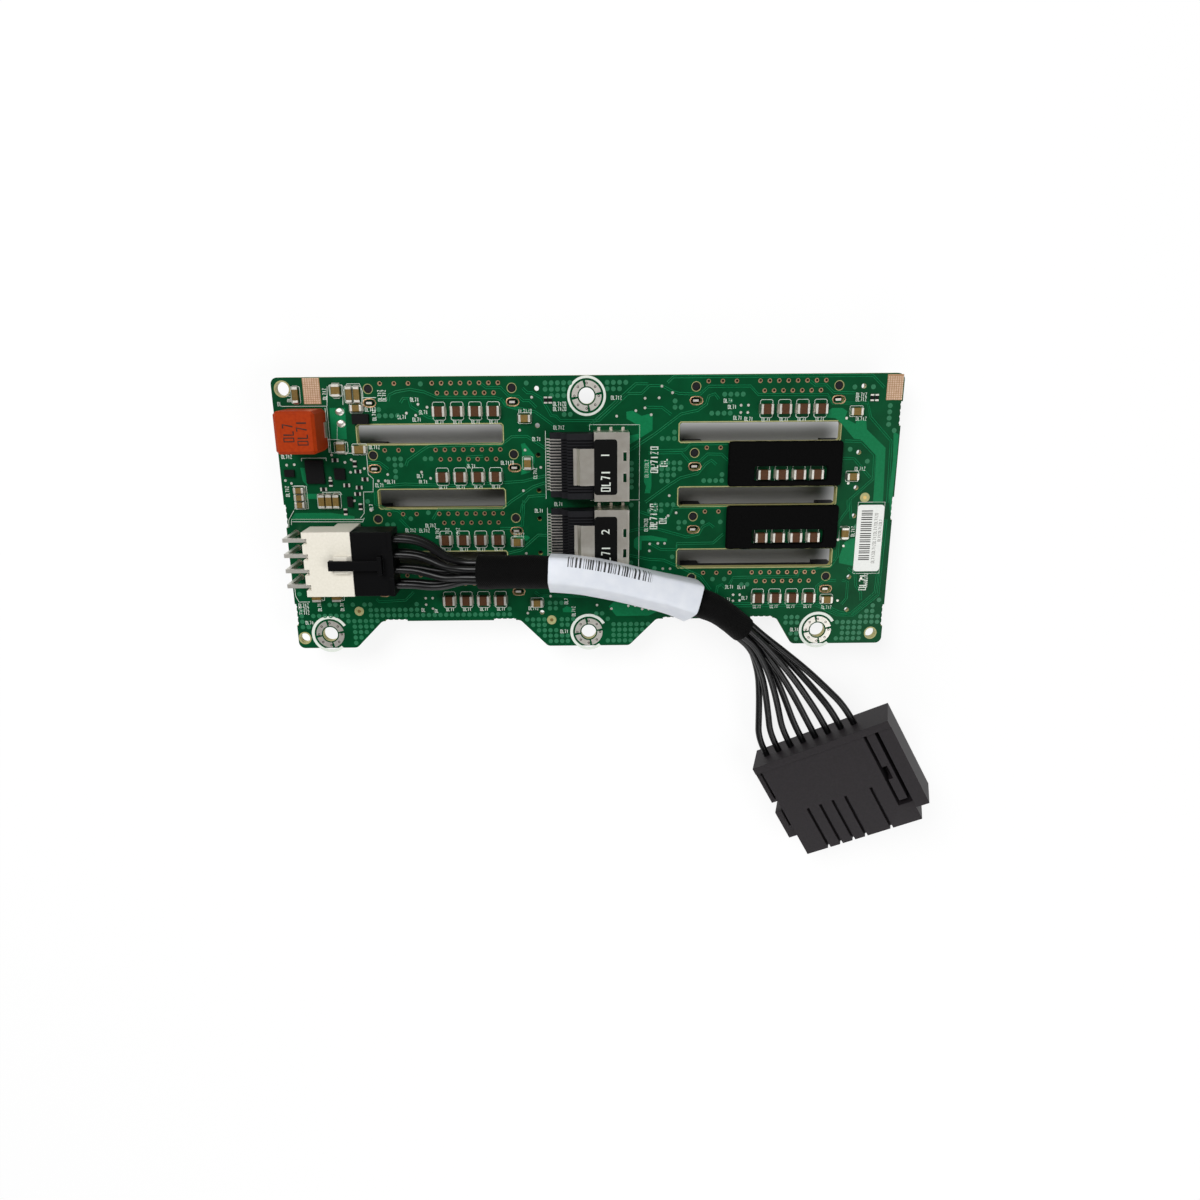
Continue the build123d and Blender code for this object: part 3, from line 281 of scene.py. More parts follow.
def printed_wrap():
    """White label film wrapped round the cable, printed with plain bars on its upper side."""
    material, tree, shader = finish("White wrap film", "#E9EBEE", 0.42)
    uv = add(tree, "ShaderNodeTexCoord").outputs["UV"]
    split = add(tree, "ShaderNodeSeparateXYZ", {"Vector": uv})
    along, around = split.outputs["X"], split.outputs["Y"]
    striped = {"W": along, "Scale": 78.0, "Detail": 0.0}
    stripes = add(tree, "ShaderNodeTexNoise", striped, noise_dimensions="1D")
    bars = calculated(tree, "GREATER_THAN", stripes.outputs["Fac"], 0.52)
    for socket, middle, reach in ((along, 0.385, 0.27), (around, 0.4, 0.06)):
        bars = calculated(tree, "MULTIPLY", bars, calculated(tree, "COMPARE", socket, middle, reach))
    tint = noise(tree, 300.0, 2.0)
    film = blend(tree, tint, "#CBD0DA", "#DFE2E7")
    surfaced(tree, shader, blend(tree, bars, film, "#2A2A2E"), tint, 0.2, 0.0002)
    return material


FINISHES = {}


def make_finishes():
    FINISHES.update(
        mask=solder_mask(),
        connector=moulded("Black glass-filled nylon", "#0A0A0D", "#17171C", 0.5, 0.2),
        contact=plated("Gold-flashed contact", "#C8A45A", "#E3C98A", 0.28),
        shell=plated("Bright folded steel", "#D8D0C2", "#FAF6EC", 0.3, 420.0),
        tin=plated("Tinned solder", "#CFCBC0", "#F2EFE8", 0.4, 1500.0),
        film=plain_sheet("Black label film", "#020202", "#060606", 0.45, 0.12),
        header=moulded("White moulded nylon", "#D6D1C2", "#E9E4D8", 0.48),
        plug=moulded("Black moulded nylon", "#010102", "#040405", 0.5, 0.1),
        far=moulded("Charcoal moulded nylon", "#1B181A", "#292528", 0.55, 0.22),
        # Extruded insulation: smooth black with a long soft highlight
        jacket=cloudy("Black wire insulation", "#020203", "#060607", 0.33, 500.0, 0.1, 0.00004,
                      Specular_IOR_Level=0.35),
        cloth=braided_cloth(),
        wrap=printed_wrap(),
        # Pressed iron powder under a brick-red coat: grainy, with a dull gloss
        powder=cloudy("Coated iron powder", "#8A2400", "#AC3A04", 0.55, 1200.0, 0.4, 0.00008,
                      Specular_IOR_Level=0.12),
        foam=soft_foam(),
        ceramic=fired_ceramic("Brown fired ceramic", "#38200F", "#5A3A22"),
        pale_ceramic=fired_ceramic("Tan fired ceramic", "#5C4620", "#86703C"),
        package=moulded("Black epoxy package", "#040404", "#0C0C0D", 0.45, 0.15),
        paper=plain_sheet("White label paper", "#D8DAD6", "#EBECE8", 0.6),
        masked_copper=plain_sheet("Green mask over copper", "#046338", "#10764A", 0.34, 0.12),
        via=plain_sheet("Green mask over a via", "#125E3A", "#2E7855", 0.35),
        bare_copper=plated("Bare copper", "#A57C5A", "#CBA888", 0.38),
        # Painted shade: a near-black metal for the discs in the pin holes and vias, standing for the shade
        # inside them
        dark_tail=plated("Painted hole shade", "#1E1712", "#3A2C22", 0.5),
        laminate=plain_sheet("Bare glass laminate", "#8E8C58", "#B5B07E", 0.6),
        ink=plain_sheet("White screen ink", "#C9D2C8", "#E2E6DE", 0.55),
        dark_ink=plain_sheet("Dark printed ink", "#261006", "#34180A", 0.6),
        pale_solder=plated("Pale solder", "#CDAE93", "#E2C9B4", 0.4),
    )

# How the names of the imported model's nodes start, under the finish that they get
NODE_FINISHES = {
    "mask": ("circuit_board",),
    "connector": ("drive_connector_", "port_1_housing", "port_2_housing"),
    "contact": ("drive_contacts_", "far_terminals"),
    "tin": ("drive_board_locks", "port_1_contacts", "port_2_contacts", "header_pins", "inductor_terminals",
        "bay_capacitor_ends", "small_capacitor_ends"),
    "shell": ("port_1_shell", "port_2_shell"),
    "film": ("port_1_label", "port_2_label"),
    "header": ("power_header",),
    "plug": ("cable_plug",),
    "jacket": ("power_wire_",),
    "cloth": ("cable_sleeve",),
    "wrap": ("cable_label",),
    "far": ("far_connector",),
    "powder": ("power_inductor",),
    "foam": ("foam_pad_",),
    "ceramic": ("bay_capacitors",),
    "pale_ceramic": ("small_capacitors",),
    "package": ("controller_ic", "small_ics", "power_diode", "chip_resistors"),
    "paper": ("board_label",),
}


# Modelling helpers


def deselect():
    if bpy.context.object and bpy.context.object.mode != "OBJECT":
        bpy.ops.object.mode_set(mode="OBJECT")
    bpy.ops.object.select_all(action="DESELECT")


def activate(*pieces):
    deselect()
    for piece in pieces:
        piece.select_set(True)
    bpy.context.view_layer.objects.active = pieces[0]


def primitive(kind, name, **settings):
    """Adds one mesh primitive and names it."""
    deselect()
    getattr(bpy.ops.mesh, "primitive_" + kind + "_add")(**settings)
    made = bpy.context.object
    made.name = name
    return made


@contextmanager
def editing(piece):
    """Opens the piece's mesh in edit mode and closes it after the block."""
    activate(piece)
    bpy.ops.object.mode_set(mode="EDIT")
    yield bmesh.from_edit_mesh(piece.data)
    bpy.ops.object.mode_set(mode="OBJECT")


def linked(name, data):
    """A new object in the scene that holds the data."""
    made = bpy.data.objects.new(name, data)
    bpy.context.scene.collection.objects.link(made)
    return made


def meshed(piece):
    """Turns a curve or text into a mesh."""
    activate(piece)
    bpy.ops.object.convert(target="MESH")
    return bpy.context.object


def drawn(data, kind, points, closed=False):
    """Adds one spline with its points in metres."""
    line = data.splines.new(kind)
    line.points.add(len(points) - 1)
    for control, point in zip(line.points, points):
        control.co = (*point, 1.0)
    line.use_cyclic_u = closed
    return line


def settled(piece, material):
    """Fixes a new piece in place, turns its faces outward, gives it its finish and rides it on the part."""
    activate(piece)
    bpy.ops.object.transform_apply(location=True, rotation=True, scale=True)
    with editing(piece):
        bpy.ops.mesh.select_all(action="SELECT")
        bpy.ops.mesh.normals_make_consistent(inside=False)
    dress(piece, FINISHES[material])
    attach(piece, "root")
    return piece


def at(x, y, turn=0.0, size=(1, 1, 1), z=0.0):
    """The matrix that takes a copy to a place in millimetres, turned by degrees about Z."""
    turned = Matrix.Translation(Vector((x, y, z)) * MM) @ Matrix.Rotation(radians(turn), 4, "Z")
    return turned @ Matrix.Diagonal((*size, 1))


def repeated(source, name, matrices):
    """Copies one modelled piece to many places, each copy its own mesh, and joins the copies."""
    copies = []
    for matrix in matrices:
        copy = linked(name, source.data.copy())
        copy.matrix_world = matrix
        copies.append(copy)
    bpy.data.objects.remove(source)
    activate(*copies)
    if len(copies) > 1:
        bpy.ops.object.join()
    joined = bpy.context.object
    joined.name = name
    return joined


def scattered(name, source, places, material):
    """Copies of one modelled piece at places in millimetres, each with a turn if it needs one."""
    return settled(repeated(source, name, [at(*place) for place in places]), material)


def applied(piece, kind, name, **settings):
    """Adds one modifier and applies it."""
    activate(piece)
    modifier = piece.modifiers.new(name, kind)
    for setting, value in settings.items():
        setattr(modifier, setting, value)
    bpy.ops.object.modifier_apply(modifier=name)


def pad(radius, rim, height, sink, vertices=12):
    """A low round pad on the rear face with a dimple inside its rim."""
    piece = primitive("cylinder", "pad", vertices=vertices, radius=radius * MM, depth=2 * height * MM,
                      location=(0, 0, REAR * MM))
    bpy.ops.object.transform_apply(location=True)
    with editing(piece) as mesh:
        bpy.ops.mesh.select_mode(type="FACE")
        bpy.ops.mesh.select_all(action="DESELECT")
        for face in mesh.faces:
            face.select_set(face.normal.z > 0.9)
        bmesh.update_edit_mesh(piece.data)
        bpy.ops.mesh.inset(thickness=rim * MM)
        bpy.ops.mesh.inset(thickness=sink * MM, depth=-sink * MM)
    return piece


def ring(inner, outer, height, start=0.0, sweep=360.0, steps=24):
    """A flat ring or arc standing on the rear face, spun from its section."""
    piece = primitive("plane", "ring", size=1)
    corners = ((inner, -height), (outer, -height), (outer, height), (inner, height))
    turn = Matrix.Rotation(radians(start), 3, "Z")
    with editing(piece) as mesh:
        for corner, (radius, z) in zip(mesh.faces[:][0].verts, corners):
            corner.co = turn @ Vector((radius, 0, REAR + z)) * MM
        bmesh.update_edit_mesh(piece.data)
        bpy.ops.mesh.select_all(action="SELECT")
        bpy.ops.mesh.spin(steps=steps, angle=radians(sweep), center=(0, 0, 0), axis=(0, 0, 1))
        bpy.ops.mesh.select_all(action="SELECT")
        bpy.ops.mesh.remove_doubles(threshold=1e-6)
    return piece


def flat_lines(name, lines, width, height, level=REAR):
    """Thin lines on a face, pressed flat; a line that ends where it starts is closed."""
    data = bpy.data.curves.new(name, "CURVE")
    data.dimensions = "3D"
    data.bevel_depth = width / 2 * MM
    data.bevel_resolution = 1
    data.use_fill_caps = True
    for line in lines:
        closed = line[0] == line[-1]
        points = line[:-1] if closed else line
        drawn(data, "POLY", [(x * MM, y * MM, level * MM) for x, y in points], closed)
    piece = meshed(linked(name, data))
    with editing(piece):
        bpy.ops.mesh.select_all(action="SELECT")
        bpy.ops.transform.resize(value=(1, 1, 2 * height / width), center_override=(0, 0, level * MM))
    return piece


def flat_areas(name, outlines, height):
    """Low plateaus on the rear face with the given outlines."""
    piece = linked(name, bpy.data.meshes.new(name))
    with editing(piece) as mesh:
        for outline in outlines:
            mesh.faces.new([mesh.verts.new(Vector((x, y, REAR - height)) * MM) for x, y in outline])
        bmesh.update_edit_mesh(piece.data)
        bpy.ops.mesh.select_all(action="SELECT")
        bpy.ops.mesh.extrude_region_move(TRANSFORM_OT_translate={"value": (0, 0, 2 * height * MM)})
    return piece


def stadium(x, y, length, width):
    """A closed slot outline, long along X, as a line for flat_lines."""
    reach = (length - width) / 2
    right = [(x + reach + width / 2 * cos(t), y + width / 2 * sin(t)) for t in (-1.57, -0.79, 0, 0.79, 1.57)]
    left = [(x - reach + width / 2 * cos(t), y + width / 2 * sin(t)) for t in (1.57, 2.36, 3.14, 3.93, 4.71)]
    return right + left + right[:1]


def boxed(low_x, low_y, high_x, high_y, cut=0.0):
    """A closed rectangle, with its corners cut off if asked, as a line for flat_lines."""
    points = [(low_x + cut, low_y), (high_x - cut, low_y), (high_x, low_y + cut), (high_x, high_y - cut),
              (high_x - cut, high_y), (low_x + cut, high_y), (low_x, high_y - cut), (low_x, low_y + cut)]
    if not cut:
        points = [(low_x, low_y), (high_x, low_y), (high_x, high_y), (low_x, high_y)]
    return points + points[:1]


def islands(node):
    """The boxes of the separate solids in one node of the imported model, in millimetres."""
    mesh = bmesh.new()
    mesh.from_mesh(NODES[node].data)
    bmesh.ops.remove_doubles(mesh, verts=mesh.verts, dist=1e-6)
    unseen = set(mesh.verts)
    found = []
    while unseen:
        front = [unseen.pop()]
        solid = list(front)
        while front:
            for edge in front.pop().link_edges:
                for corner in edge.verts:
                    if corner in unseen:
                        unseen.discard(corner)
                        front.append(corner)
                        solid.append(corner)
        low = Vector([min(corner.co[axis] for corner in solid) for axis in range(3)]) / MM
        high = Vector([max(corner.co[axis] for corner in solid) for axis in range(3)]) / MM
        found.append((low, high))
    mesh.free()
    return found


# Copper, vias and pads

VIA_PITCH = (1.675, 1.64)
VIA_FIRST_ROW = -36.3
# Runs of vias in each row, counted up from the bottom edge: first column from the middle, how many
VIA_RUNS = {
    44: ((-27, 1), (-10, 1), (-7, 5), (3, 4)),
    43: ((-7, 4), (3, 3), (43, 1), (46, 1)),
    42: ((-6, 3), (22, 4)),
    41: ((14, 1), (23, 1)),
    40: ((-34, 1), (14, 2), (49, 1)),
    39: ((-34, 4), (-4, 2), (20, 4), (49, 1)),
    38: ((49, 1),),
    37: ((49, 1),),
    36: ((14, 1), (50, 1)),
    35: ((12, 3),),
    33: ((43, 1),),
    32: ((-33, 3), (-27, 2)),
    31: ((-32, 2), (7, 1), (12, 4), (46, 1)),
    30: ((-32, 1), (7, 1), (12, 4)),
    29: ((-32, 1), (7, 1), (12, 3), (22, 1)),
    28: ((7, 1), (12, 2), (19, 4)),
    27: ((7, 1),),
    25: ((-37, 1),),
    24: ((7, 1), (11, 4)),
    23: ((-27, 1), (10, 3)),
    22: ((-30, 1),),
    21: ((-34, 2), (15, 2), (19, 1), (22, 1)),
    20: ((15, 1), (45, 1)),
    15: ((14, 1),),
    14: ((7, 1),),
    13: ((11, 1),),
    11: ((21, 1), (23, 1)),
    10: ((26, 2),),
    9: ((-50, 1),),
    7: ((-45, 2), (-41, 1), (-39, 2), (-30, 1), (-7, 3), (50, 1)),
    6: ((-50, 1), (-38, 9), (-14, 1), (-7, 2), (49, 1)),
    5: ((-50, 1), (-48, 7), (-38, 25), (1, 2), (48, 2)),
    4: ((-50, 1), (-42, 6), (-11, 4), (-5, 3), (3, 1), (34, 3), (47, 4)),
    3: ((-50, 2), (-41, 4), (-10, 3), (-5, 2), (4, 7), (34, 3), (43, 8)),
    2: ((-41, 3), (-9, 4), (4, 6), (44, 4)),
    1: ((-41, 2), (-8, 5), (4, 6), (35, 2), (44, 4)),
    0: ((-41, 1), (-7, 4), (3, 5), (36, 1), (43, 5)),
}
# Outlines of the brighter copper areas on the rear face
COPPER_AREAS = (
    ((10.2, 28.2), (11.9, 28.5), (14.4, 27.1), (16.3, 27.6), (17.4, 27.4), (17.4, 23.3), (14.1, 21.3),
     (11.2, 19.6), (11.0, 21.9), (13.6, 22.4), (13.6, 24.5), (11.8, 25.6), (10.3, 26.4)),
    ((-18.7, 19.9), (-17.7, 20.2), (-15.1, 17.0), (-15.1, 14.9), (-16.4, 12.3), (-18.9, 11.6),
     (-18.4, 18.0)),
    ((15.1, 15.3), (16.5, 15.5), (17.2, 14.3), (17.3, 8.2), (16.9, 6.3), (15.4, 6.3), (15.8, 8.2),
     (15.2, 9.4)),
    ((12.5, -6.6), (13.9, -5.6), (17.5, -5.6), (21.9, -6.5), (21.9, -7.3), (17.5, -7.0), (14.7, -7.0),
     (14.7, -9.6), (13.7, -9.8), (12.5, -8.8)),
    ((-21.0, -5.1), (-17.5, -5.3), (-16.9, -5.9), (-17.9, -6.7), (-20.7, -6.1)),
    ((5.3, -26.1), (6.7, -24.7), (8.4, -24.5), (12.8, -25.6), (19.8, -27.5), (16.9, -28.9), (7.5, -28.9)),
    ((-8.1, -26.6), (-6.9, -25.8), (-5.1, -26.4), (-5.1, -27.7), (-7.9, -27.6)),
    ((64.2, 26.4), (65.0, 27.9), (66.3, 28.8), (69.1, 28.8), (70.5, 27.9), (69.9, 26.1), (73.0, 24.6),
     (73.2, 25.6), (75.8, 25.6), (76.2, 23.1), (81.8, 18.1), (82.4, 3.1), (79.6, 3.2), (79.4, 16.1),
     (76.6, 18.9), (74.7, 20.4), (72.9, 20.6), (69.4, 24.4), (67.4, 26.1)),
    ((72.4, -8.0), (73.6, -7.0), (76.0, -6.8), (76.3, -8.8), (75.9, -14.9), (71.3, -13.9), (71.2, -12.2)),
    ((83.6, 22.6), (85.1, 21.6), (85.2, 14.9), (84.9, 2.7), (84.9, -1.5), (83.9, 5.9), (84.1, 15.0)),
    ((-70.2, 29.8), (-66.0, 29.8), (-66.2, 21.6), (-70.4, 21.6)),
    ((-79.4, 10.4), (-78.2, 9.0), (-78.6, 14.0), (-79.8, 14.0)),
    ((-79.0, 6.9), (-75.9, 6.9), (-75.9, 5.5), (-79.0, 5.5)),
    ((-84.0, -0.4), (-66.0, -0.4), (-66.0, 0.6), (-72.5, 1.6), (-82.5, 1.6)),
)
# Thin masked traces
TRACES = (
    ((-53.9, 31.4), (-53.6, 32.9), (-51.9, 33.6), (-48.1, 34.2), (-44.4, 33.5), (-41.1, 32.1),
     (-25.2, 31.9), (-23.6, 31.4), (-22.1, 29.6), (-19.0, 28.8)),
    ((-50.7, 30.9), (-50.0, 31.9), (-48.9, 32.0), (-48.4, 29.8), (-43.9, 27.0), (-41.6, 26.4)),
    ((-29.1, 35.6), (-27.7, 34.5), (-23.8, 34.5), (-21.7, 32.3), (-19.0, 32.2), (-17.9, 31.1),
     (-16.2, 31.1), (-14.4, 29.3)),
    ((-50.4, 14.2), (-49.8, 15.6), (-45.5, 18.4), (-43.9, 19.3), (-23.9, 19.6), (-21.1, 21.6),
     (-17.1, 21.7), (-11.9, 18.3)),
    ((-29.2, 17.0), (-33.6, 16.8), (-34.1, 15.4), (-33.5, 13.9)),
    ((-61.1, 15.0), (-57.9, 15.0), (-55.7, 13.2)),
    ((-59.3, 8.4), (-51.4, 9.1), (-36.3, 8.5), (-18.2, 9.6), (-11.9, 11.1)),
    ((-59.9, 7.5), (-60.1, 3.9), (-57.0, 2.2), (-53.8, 1.8), (-51.6, -0.3)),
    ((-43.8, -0.6), (-42.2, 2.1), (-24.5, 2.0), (-21.5, 4.3), (-15.5, 8.1), (-12.0, 9.2)),
    ((-24.0, 31.9), (-22.7, 29.9), (-19.1, 29.1), (-14.6, 28.1), (-9.7, 24.5)),
    ((-18.0, 34.4), (-16.7, 33.1), (-15.4, 33.1), (-13.0, 31.8), (-10.4, 27.2), (-9.1, 27.0), (-7.8, 25.8),
     (2.8, 25.7), (10.8, 32.7), (14.4, 32.7), (16.6, 34.7), (19.7, 34.7), (22.7, 33.1), (24.6, 32.6),
     (30.3, 32.4), (32.5, 34.4), (43.7, 34.4), (45.9, 32.2), (64.8, 32.0), (66.3, 29.8), (75.8, 29.8),
     (76.8, 26.1), (82.9, 19.9), (83.4, 3.0)),
    ((16.1, 35.7), (12.6, 35.7), (-0.3, 24.6)),
    ((21.5, 35.5), (22.9, 36.9), (76.7, 36.9), (79.9, 33.8)),
    ((11.4, 17.8), (18.3, 22.1), (25.3, 27.3), (29.8, 28.2), (32.2, 29.9), (32.8, 32.0), (34.1, 32.5),
     (35.1, 31.2)),
    ((16.8, 17.5), (26.5, 17.7), (28.0, 19.3), (38.2, 19.3)),
    ((16.4, 17.0), (25.4, 17.0), (27.5, 14.6), (30.6, 14.6), (32.8, 16.6), (36.5, 16.5), (38.2, 14.9)),
    ((15.8, 3.6), (22.4, 8.3), (25.5, 10.2), (30.2, 11.3), (32.5, 14.0), (33.8, 14.9), (35.0, 13.8)),
    ((15.4, 29.1), (19.9, 29.0), (22.3, 27.2)),
    ((-18.9, 1.1), (-18.6, 3.1), (-16.8, 5.4), (-12.1, 5.7)),
    ((59.6, 35.7), (61.2, 34.5), (64.1, 34.6), (66.3, 32.6), (72.4, 32.4)),
    ((70.4, 19.8), (75.0, 19.6), (78.7, 16.1), (78.8, 9.8), (72.8, 4.2), (73.5, -1.4)),
    ((70.3, 15.1), (73.1, 15.1), (78.0, 9.9)),
    ((14.2, 0.9), (21.8, -1.7), (23.5, 2.0), (38.4, 2.1)),
    ((11.1, -4.6), (14.3, -3.8), (19.1, -4.0), (27.4, -6.3), (31.0, -5.5), (32.1, -3.4), (33.7, -2.6),
     (34.9, -3.6)),
    ((16.7, -8.0), (20.1, -9.8), (24.7, -9.9), (24.7, -8.2), (35.0, -8.1), (38.0, -5.5)),
    ((11.2, -11.4), (16.8, -12.6), (21.0, -12.9), (27.2, -15.7), (31.5, -17.6), (34.5, -21.6)),
    ((36.7, -22.3), (36.9, -20.6), (37.8, -20.1), (39.0, -21.4)),
    ((40.4, -19.9), (41.1, -18.1), (59.7, -17.9), (60.3, -16.2), (69.0, -15.1), (70.1, -13.4),
     (69.9, -10.1)),
    ((40.9, -25.8), (66.4, -25.8), (72.4, -28.6), (75.9, -29.1), (82.6, -22.8), (82.9, -16.4)),
    ((40.0, -26.5), (65.5, -26.5), (71.8, -29.5), (76.6, -29.6), (83.6, -23.5), (84.0, -1.5)),
    ((69.3, -14.8), (71.0, -12.0), (70.7, -2.1), (73.0, 1.2), (72.8, 4.0)),
    ((72.5, -19.2), (73.9, -19.5), (74.0, -24.1), (72.7, -25.9)),
    ((73.8, -15.6), (75.9, -17.3), (76.4, -20.7), (78.0, -22.7), (78.2, -24.9)),
    ((65.9, -24.6), (65.6, -20.6), (67.4, -19.4), (70.8, -19.2)),
    ((-16.1, -21.8), (-14.3, -23.0), (3.1, -23.2)),
    ((-18.6, 4.7), (-19.2, -2.3), (-21.4, -2.9), (-25.3, -2.9)),
    ((-11.9, -5.0), (-14.7, -4.9), (-19.6, -9.1), (-23.2, -9.9)),
    ((-61.9, -23.4), (-61.0, -24.3), (-53.3, -23.9), (-50.7, -21.5)),
    ((-53.5, -0.5), (-50.9, -3.4), (-46.8, -3.9)),
)
TRACE_GAP = 0.55
# Small bare test dots, tinned white
TEST_DOTS = (
    (-46.2, 30.6), (-43.8, 29.8), (-49.5, 28.3), (-47.0, 27.7), (-46.4, 12.6), (-44.0, 10.9), (-55.8, 12.0),
    (-56.6, 10.3), (-58.5, 10.3), (-61.2, 2.2), (-66.9, 17.8), (-70.8, 17.4), (-65.5, 16.1), (-67.3, 15.4),
    (-62.1, 13.7), (-81.3, 14.9), (-84.2, 10.6), (-83.4, 14.8), (-82.6, 9.8), (-71.8, 11.2), (-66.0, 12.7),
    (-65.6, 4.9), (-15.4, 32.2), (7.6, 27.1), (15.3, 31.7), (19.1, 31.8), (19.8, 34.8), (22.7, 33.1),
    (15.3, 29.2), (12.8, 28.5), (17.0, 27.4), (-18.9, 23.6), (-17.6, 18.3), (-13.4, 13.6), (-18.4, 7.3),
    (22.3, 5.6), (24.3, 0.8), (22.1, 0.0), (17.0, -7.9), (19.3, -7.8), (21.2, -7.8), (16.9, -9.9),
    (-18.1, -10.3), (-11.5, -22.8), (1.9, -25.6), (-18.2, -27.8), (6.1, -26.7), (11.0, -25.9),
    (13.0, -25.9), (15.0, -26.9), (16.9, -26.9), (20.8, -15.1), (22.9, -15.1), (41.4, 29.7), (43.4, 29.7),
    (41.4, 27.8), (43.3, 27.8), (70.4, 26.1), (72.2, 8.6), (70.5, -7.2), (72.2, -9.0), (41.3, -22.9),
    (43.2, -22.9), (41.3, -24.7), (43.2, -24.6), (71.7, -24.9), (78.0, -18.4), (-47.5, -23.1),
    (-45.5, -23.1), (-47.5, -25.0), (-45.6, -26.2),
)
FIDUCIALS = ((-67.0, -26.8), (-11.3, -29.9), (77.2, 4.6))
SCREW_HOLES = ((-0.55, 32.45), (-75.95, -33.6), (-0.55, -33.6), (66.35, -33.6))
PLAIN_HOLES = ((-83.45, -34.7, 1.45), (82.05, -34.7, 1.45), (-82.45, 34.8, 1.8))
MESHED_PADS = ((-76.9, 30.85, -72.3, 37.6), (80.75, 30.75, 85.1, 37.45))
KNOB_PITCH = (0.62, 0.56)
# Airflow slots of each column: right end from the bay's middle, then the length in each row
SLOT_COLUMNS = ((16.45, (39.6, 35.0, 35.0)), (20.45, (44.0, 44.0, 44.0)))
SLOT_DROP = 11.95
SLOT_WIDTH = 5.0
SLOT_EDGE = 0.22
# How far each layer stands over the mask
AREA_HEIGHT = 0.035
TRACE_HEIGHT = 0.05
RIM_HEIGHT = 0.03
PRINT_HEIGHT = 0.045
SIDES = (-1, 1)
# Solder tails of one drive connector: first place from its left peg, row, how many and their pitch
PIN_RUNS = ((3.3, 1.35, 3, 3.81), (17.27, 1.35, 8, 2.54), (18.54, -1.2, 7, 2.54))
# Pads: radius, rim, height, dimple and sides
TEST_DOT = (0.37, 0.12, 0.12, 0.03, 10)
SCREW_VIA = (0.34, 0.14, 0.085, 0.04, 8)
FIDUCIAL = (0.5, 0.15, 0.06, 0.02, 16)
SOLDER_KNOB = (0.24, 0.08, 0.07, 0.02, 6)
# Rings: inner and outer radius
PEG_RIM = (1.17, 1.32)
FIDUCIAL_HALO = (0.5, 1.35)
SCREW_QUARTER = (2.5, 4.05)
SCREW_VIA_RADIUS = 3.3
# The board-lock slots' rims, from their pegs: place, length and width
LOCK_PLACE = (0.15, -3.65)
LOCK_SIZE = (3.5, 2.1)


class BoardSizes(bpy.types.PropertyGroup):
    via_radius: measure("Via pad", "Radius of a via's masked pad", 0.66)
    trace_width: measure("Trace width", "Width of one masked trace", 0.22)
    pin_radius: measure("Pin pad", "Radius of the solder round one connector pin", 0.6)


def on_board(x, y, margin):
    """Whether a small round thing stands wholly on the board's rear face."""
    board = NODES["circuit_board"]
    inverse = board.matrix_world.inverted()
    down = inverse.to_3x3() @ Vector((0, 0, -1))
    for across, along in ((margin, 0), (-margin, 0), (0, margin), (0, -margin)):
        start = inverse @ (Vector((x + across, y + along, REAR + 1)) * MM)
        hit, place, normal, face = board.ray_cast(start, down)
        if not hit or (board.matrix_world @ place).z < (REAR - 0.1) * MM:
            return False
    return True


def beside(line, gap):
    """The same trace moved sideways, for the second of a pair."""
    moved = []
    for before, here, after in zip(line[:1] + line, line, line[1:] + line[-1:]):
        along = Vector(after) - Vector(before)
        moved.append(tuple(Vector(here) + Vector((-along.y, along.x)).normalized() * gap))
    return moved


def pin_places():
    """Every solder tail of the drive connectors: three alone, then two staggered rows."""
    return [(bay - PEG_REACH + first + pitch * step, row + rise)
            for bay in BAY_X for row in ROW_Y
            for first, rise, count, pitch in PIN_RUNS for step in range(count)]


def slot_edges():
    """Outlines of the six airflow slots, a little outside their walls."""
    outlines = []
    half = SLOT_WIDTH / 2 + SLOT_EDGE
    for bay, (end, lengths) in zip(BAY_X, SLOT_COLUMNS):
        for row, length in zip(ROW_Y, lengths):
            right, y = bay + end, row - SLOT_DROP
            outlines.append(boxed(right - length - SLOT_EDGE, y - half, right + SLOT_EDGE, y + half, 0.5))
    return outlines


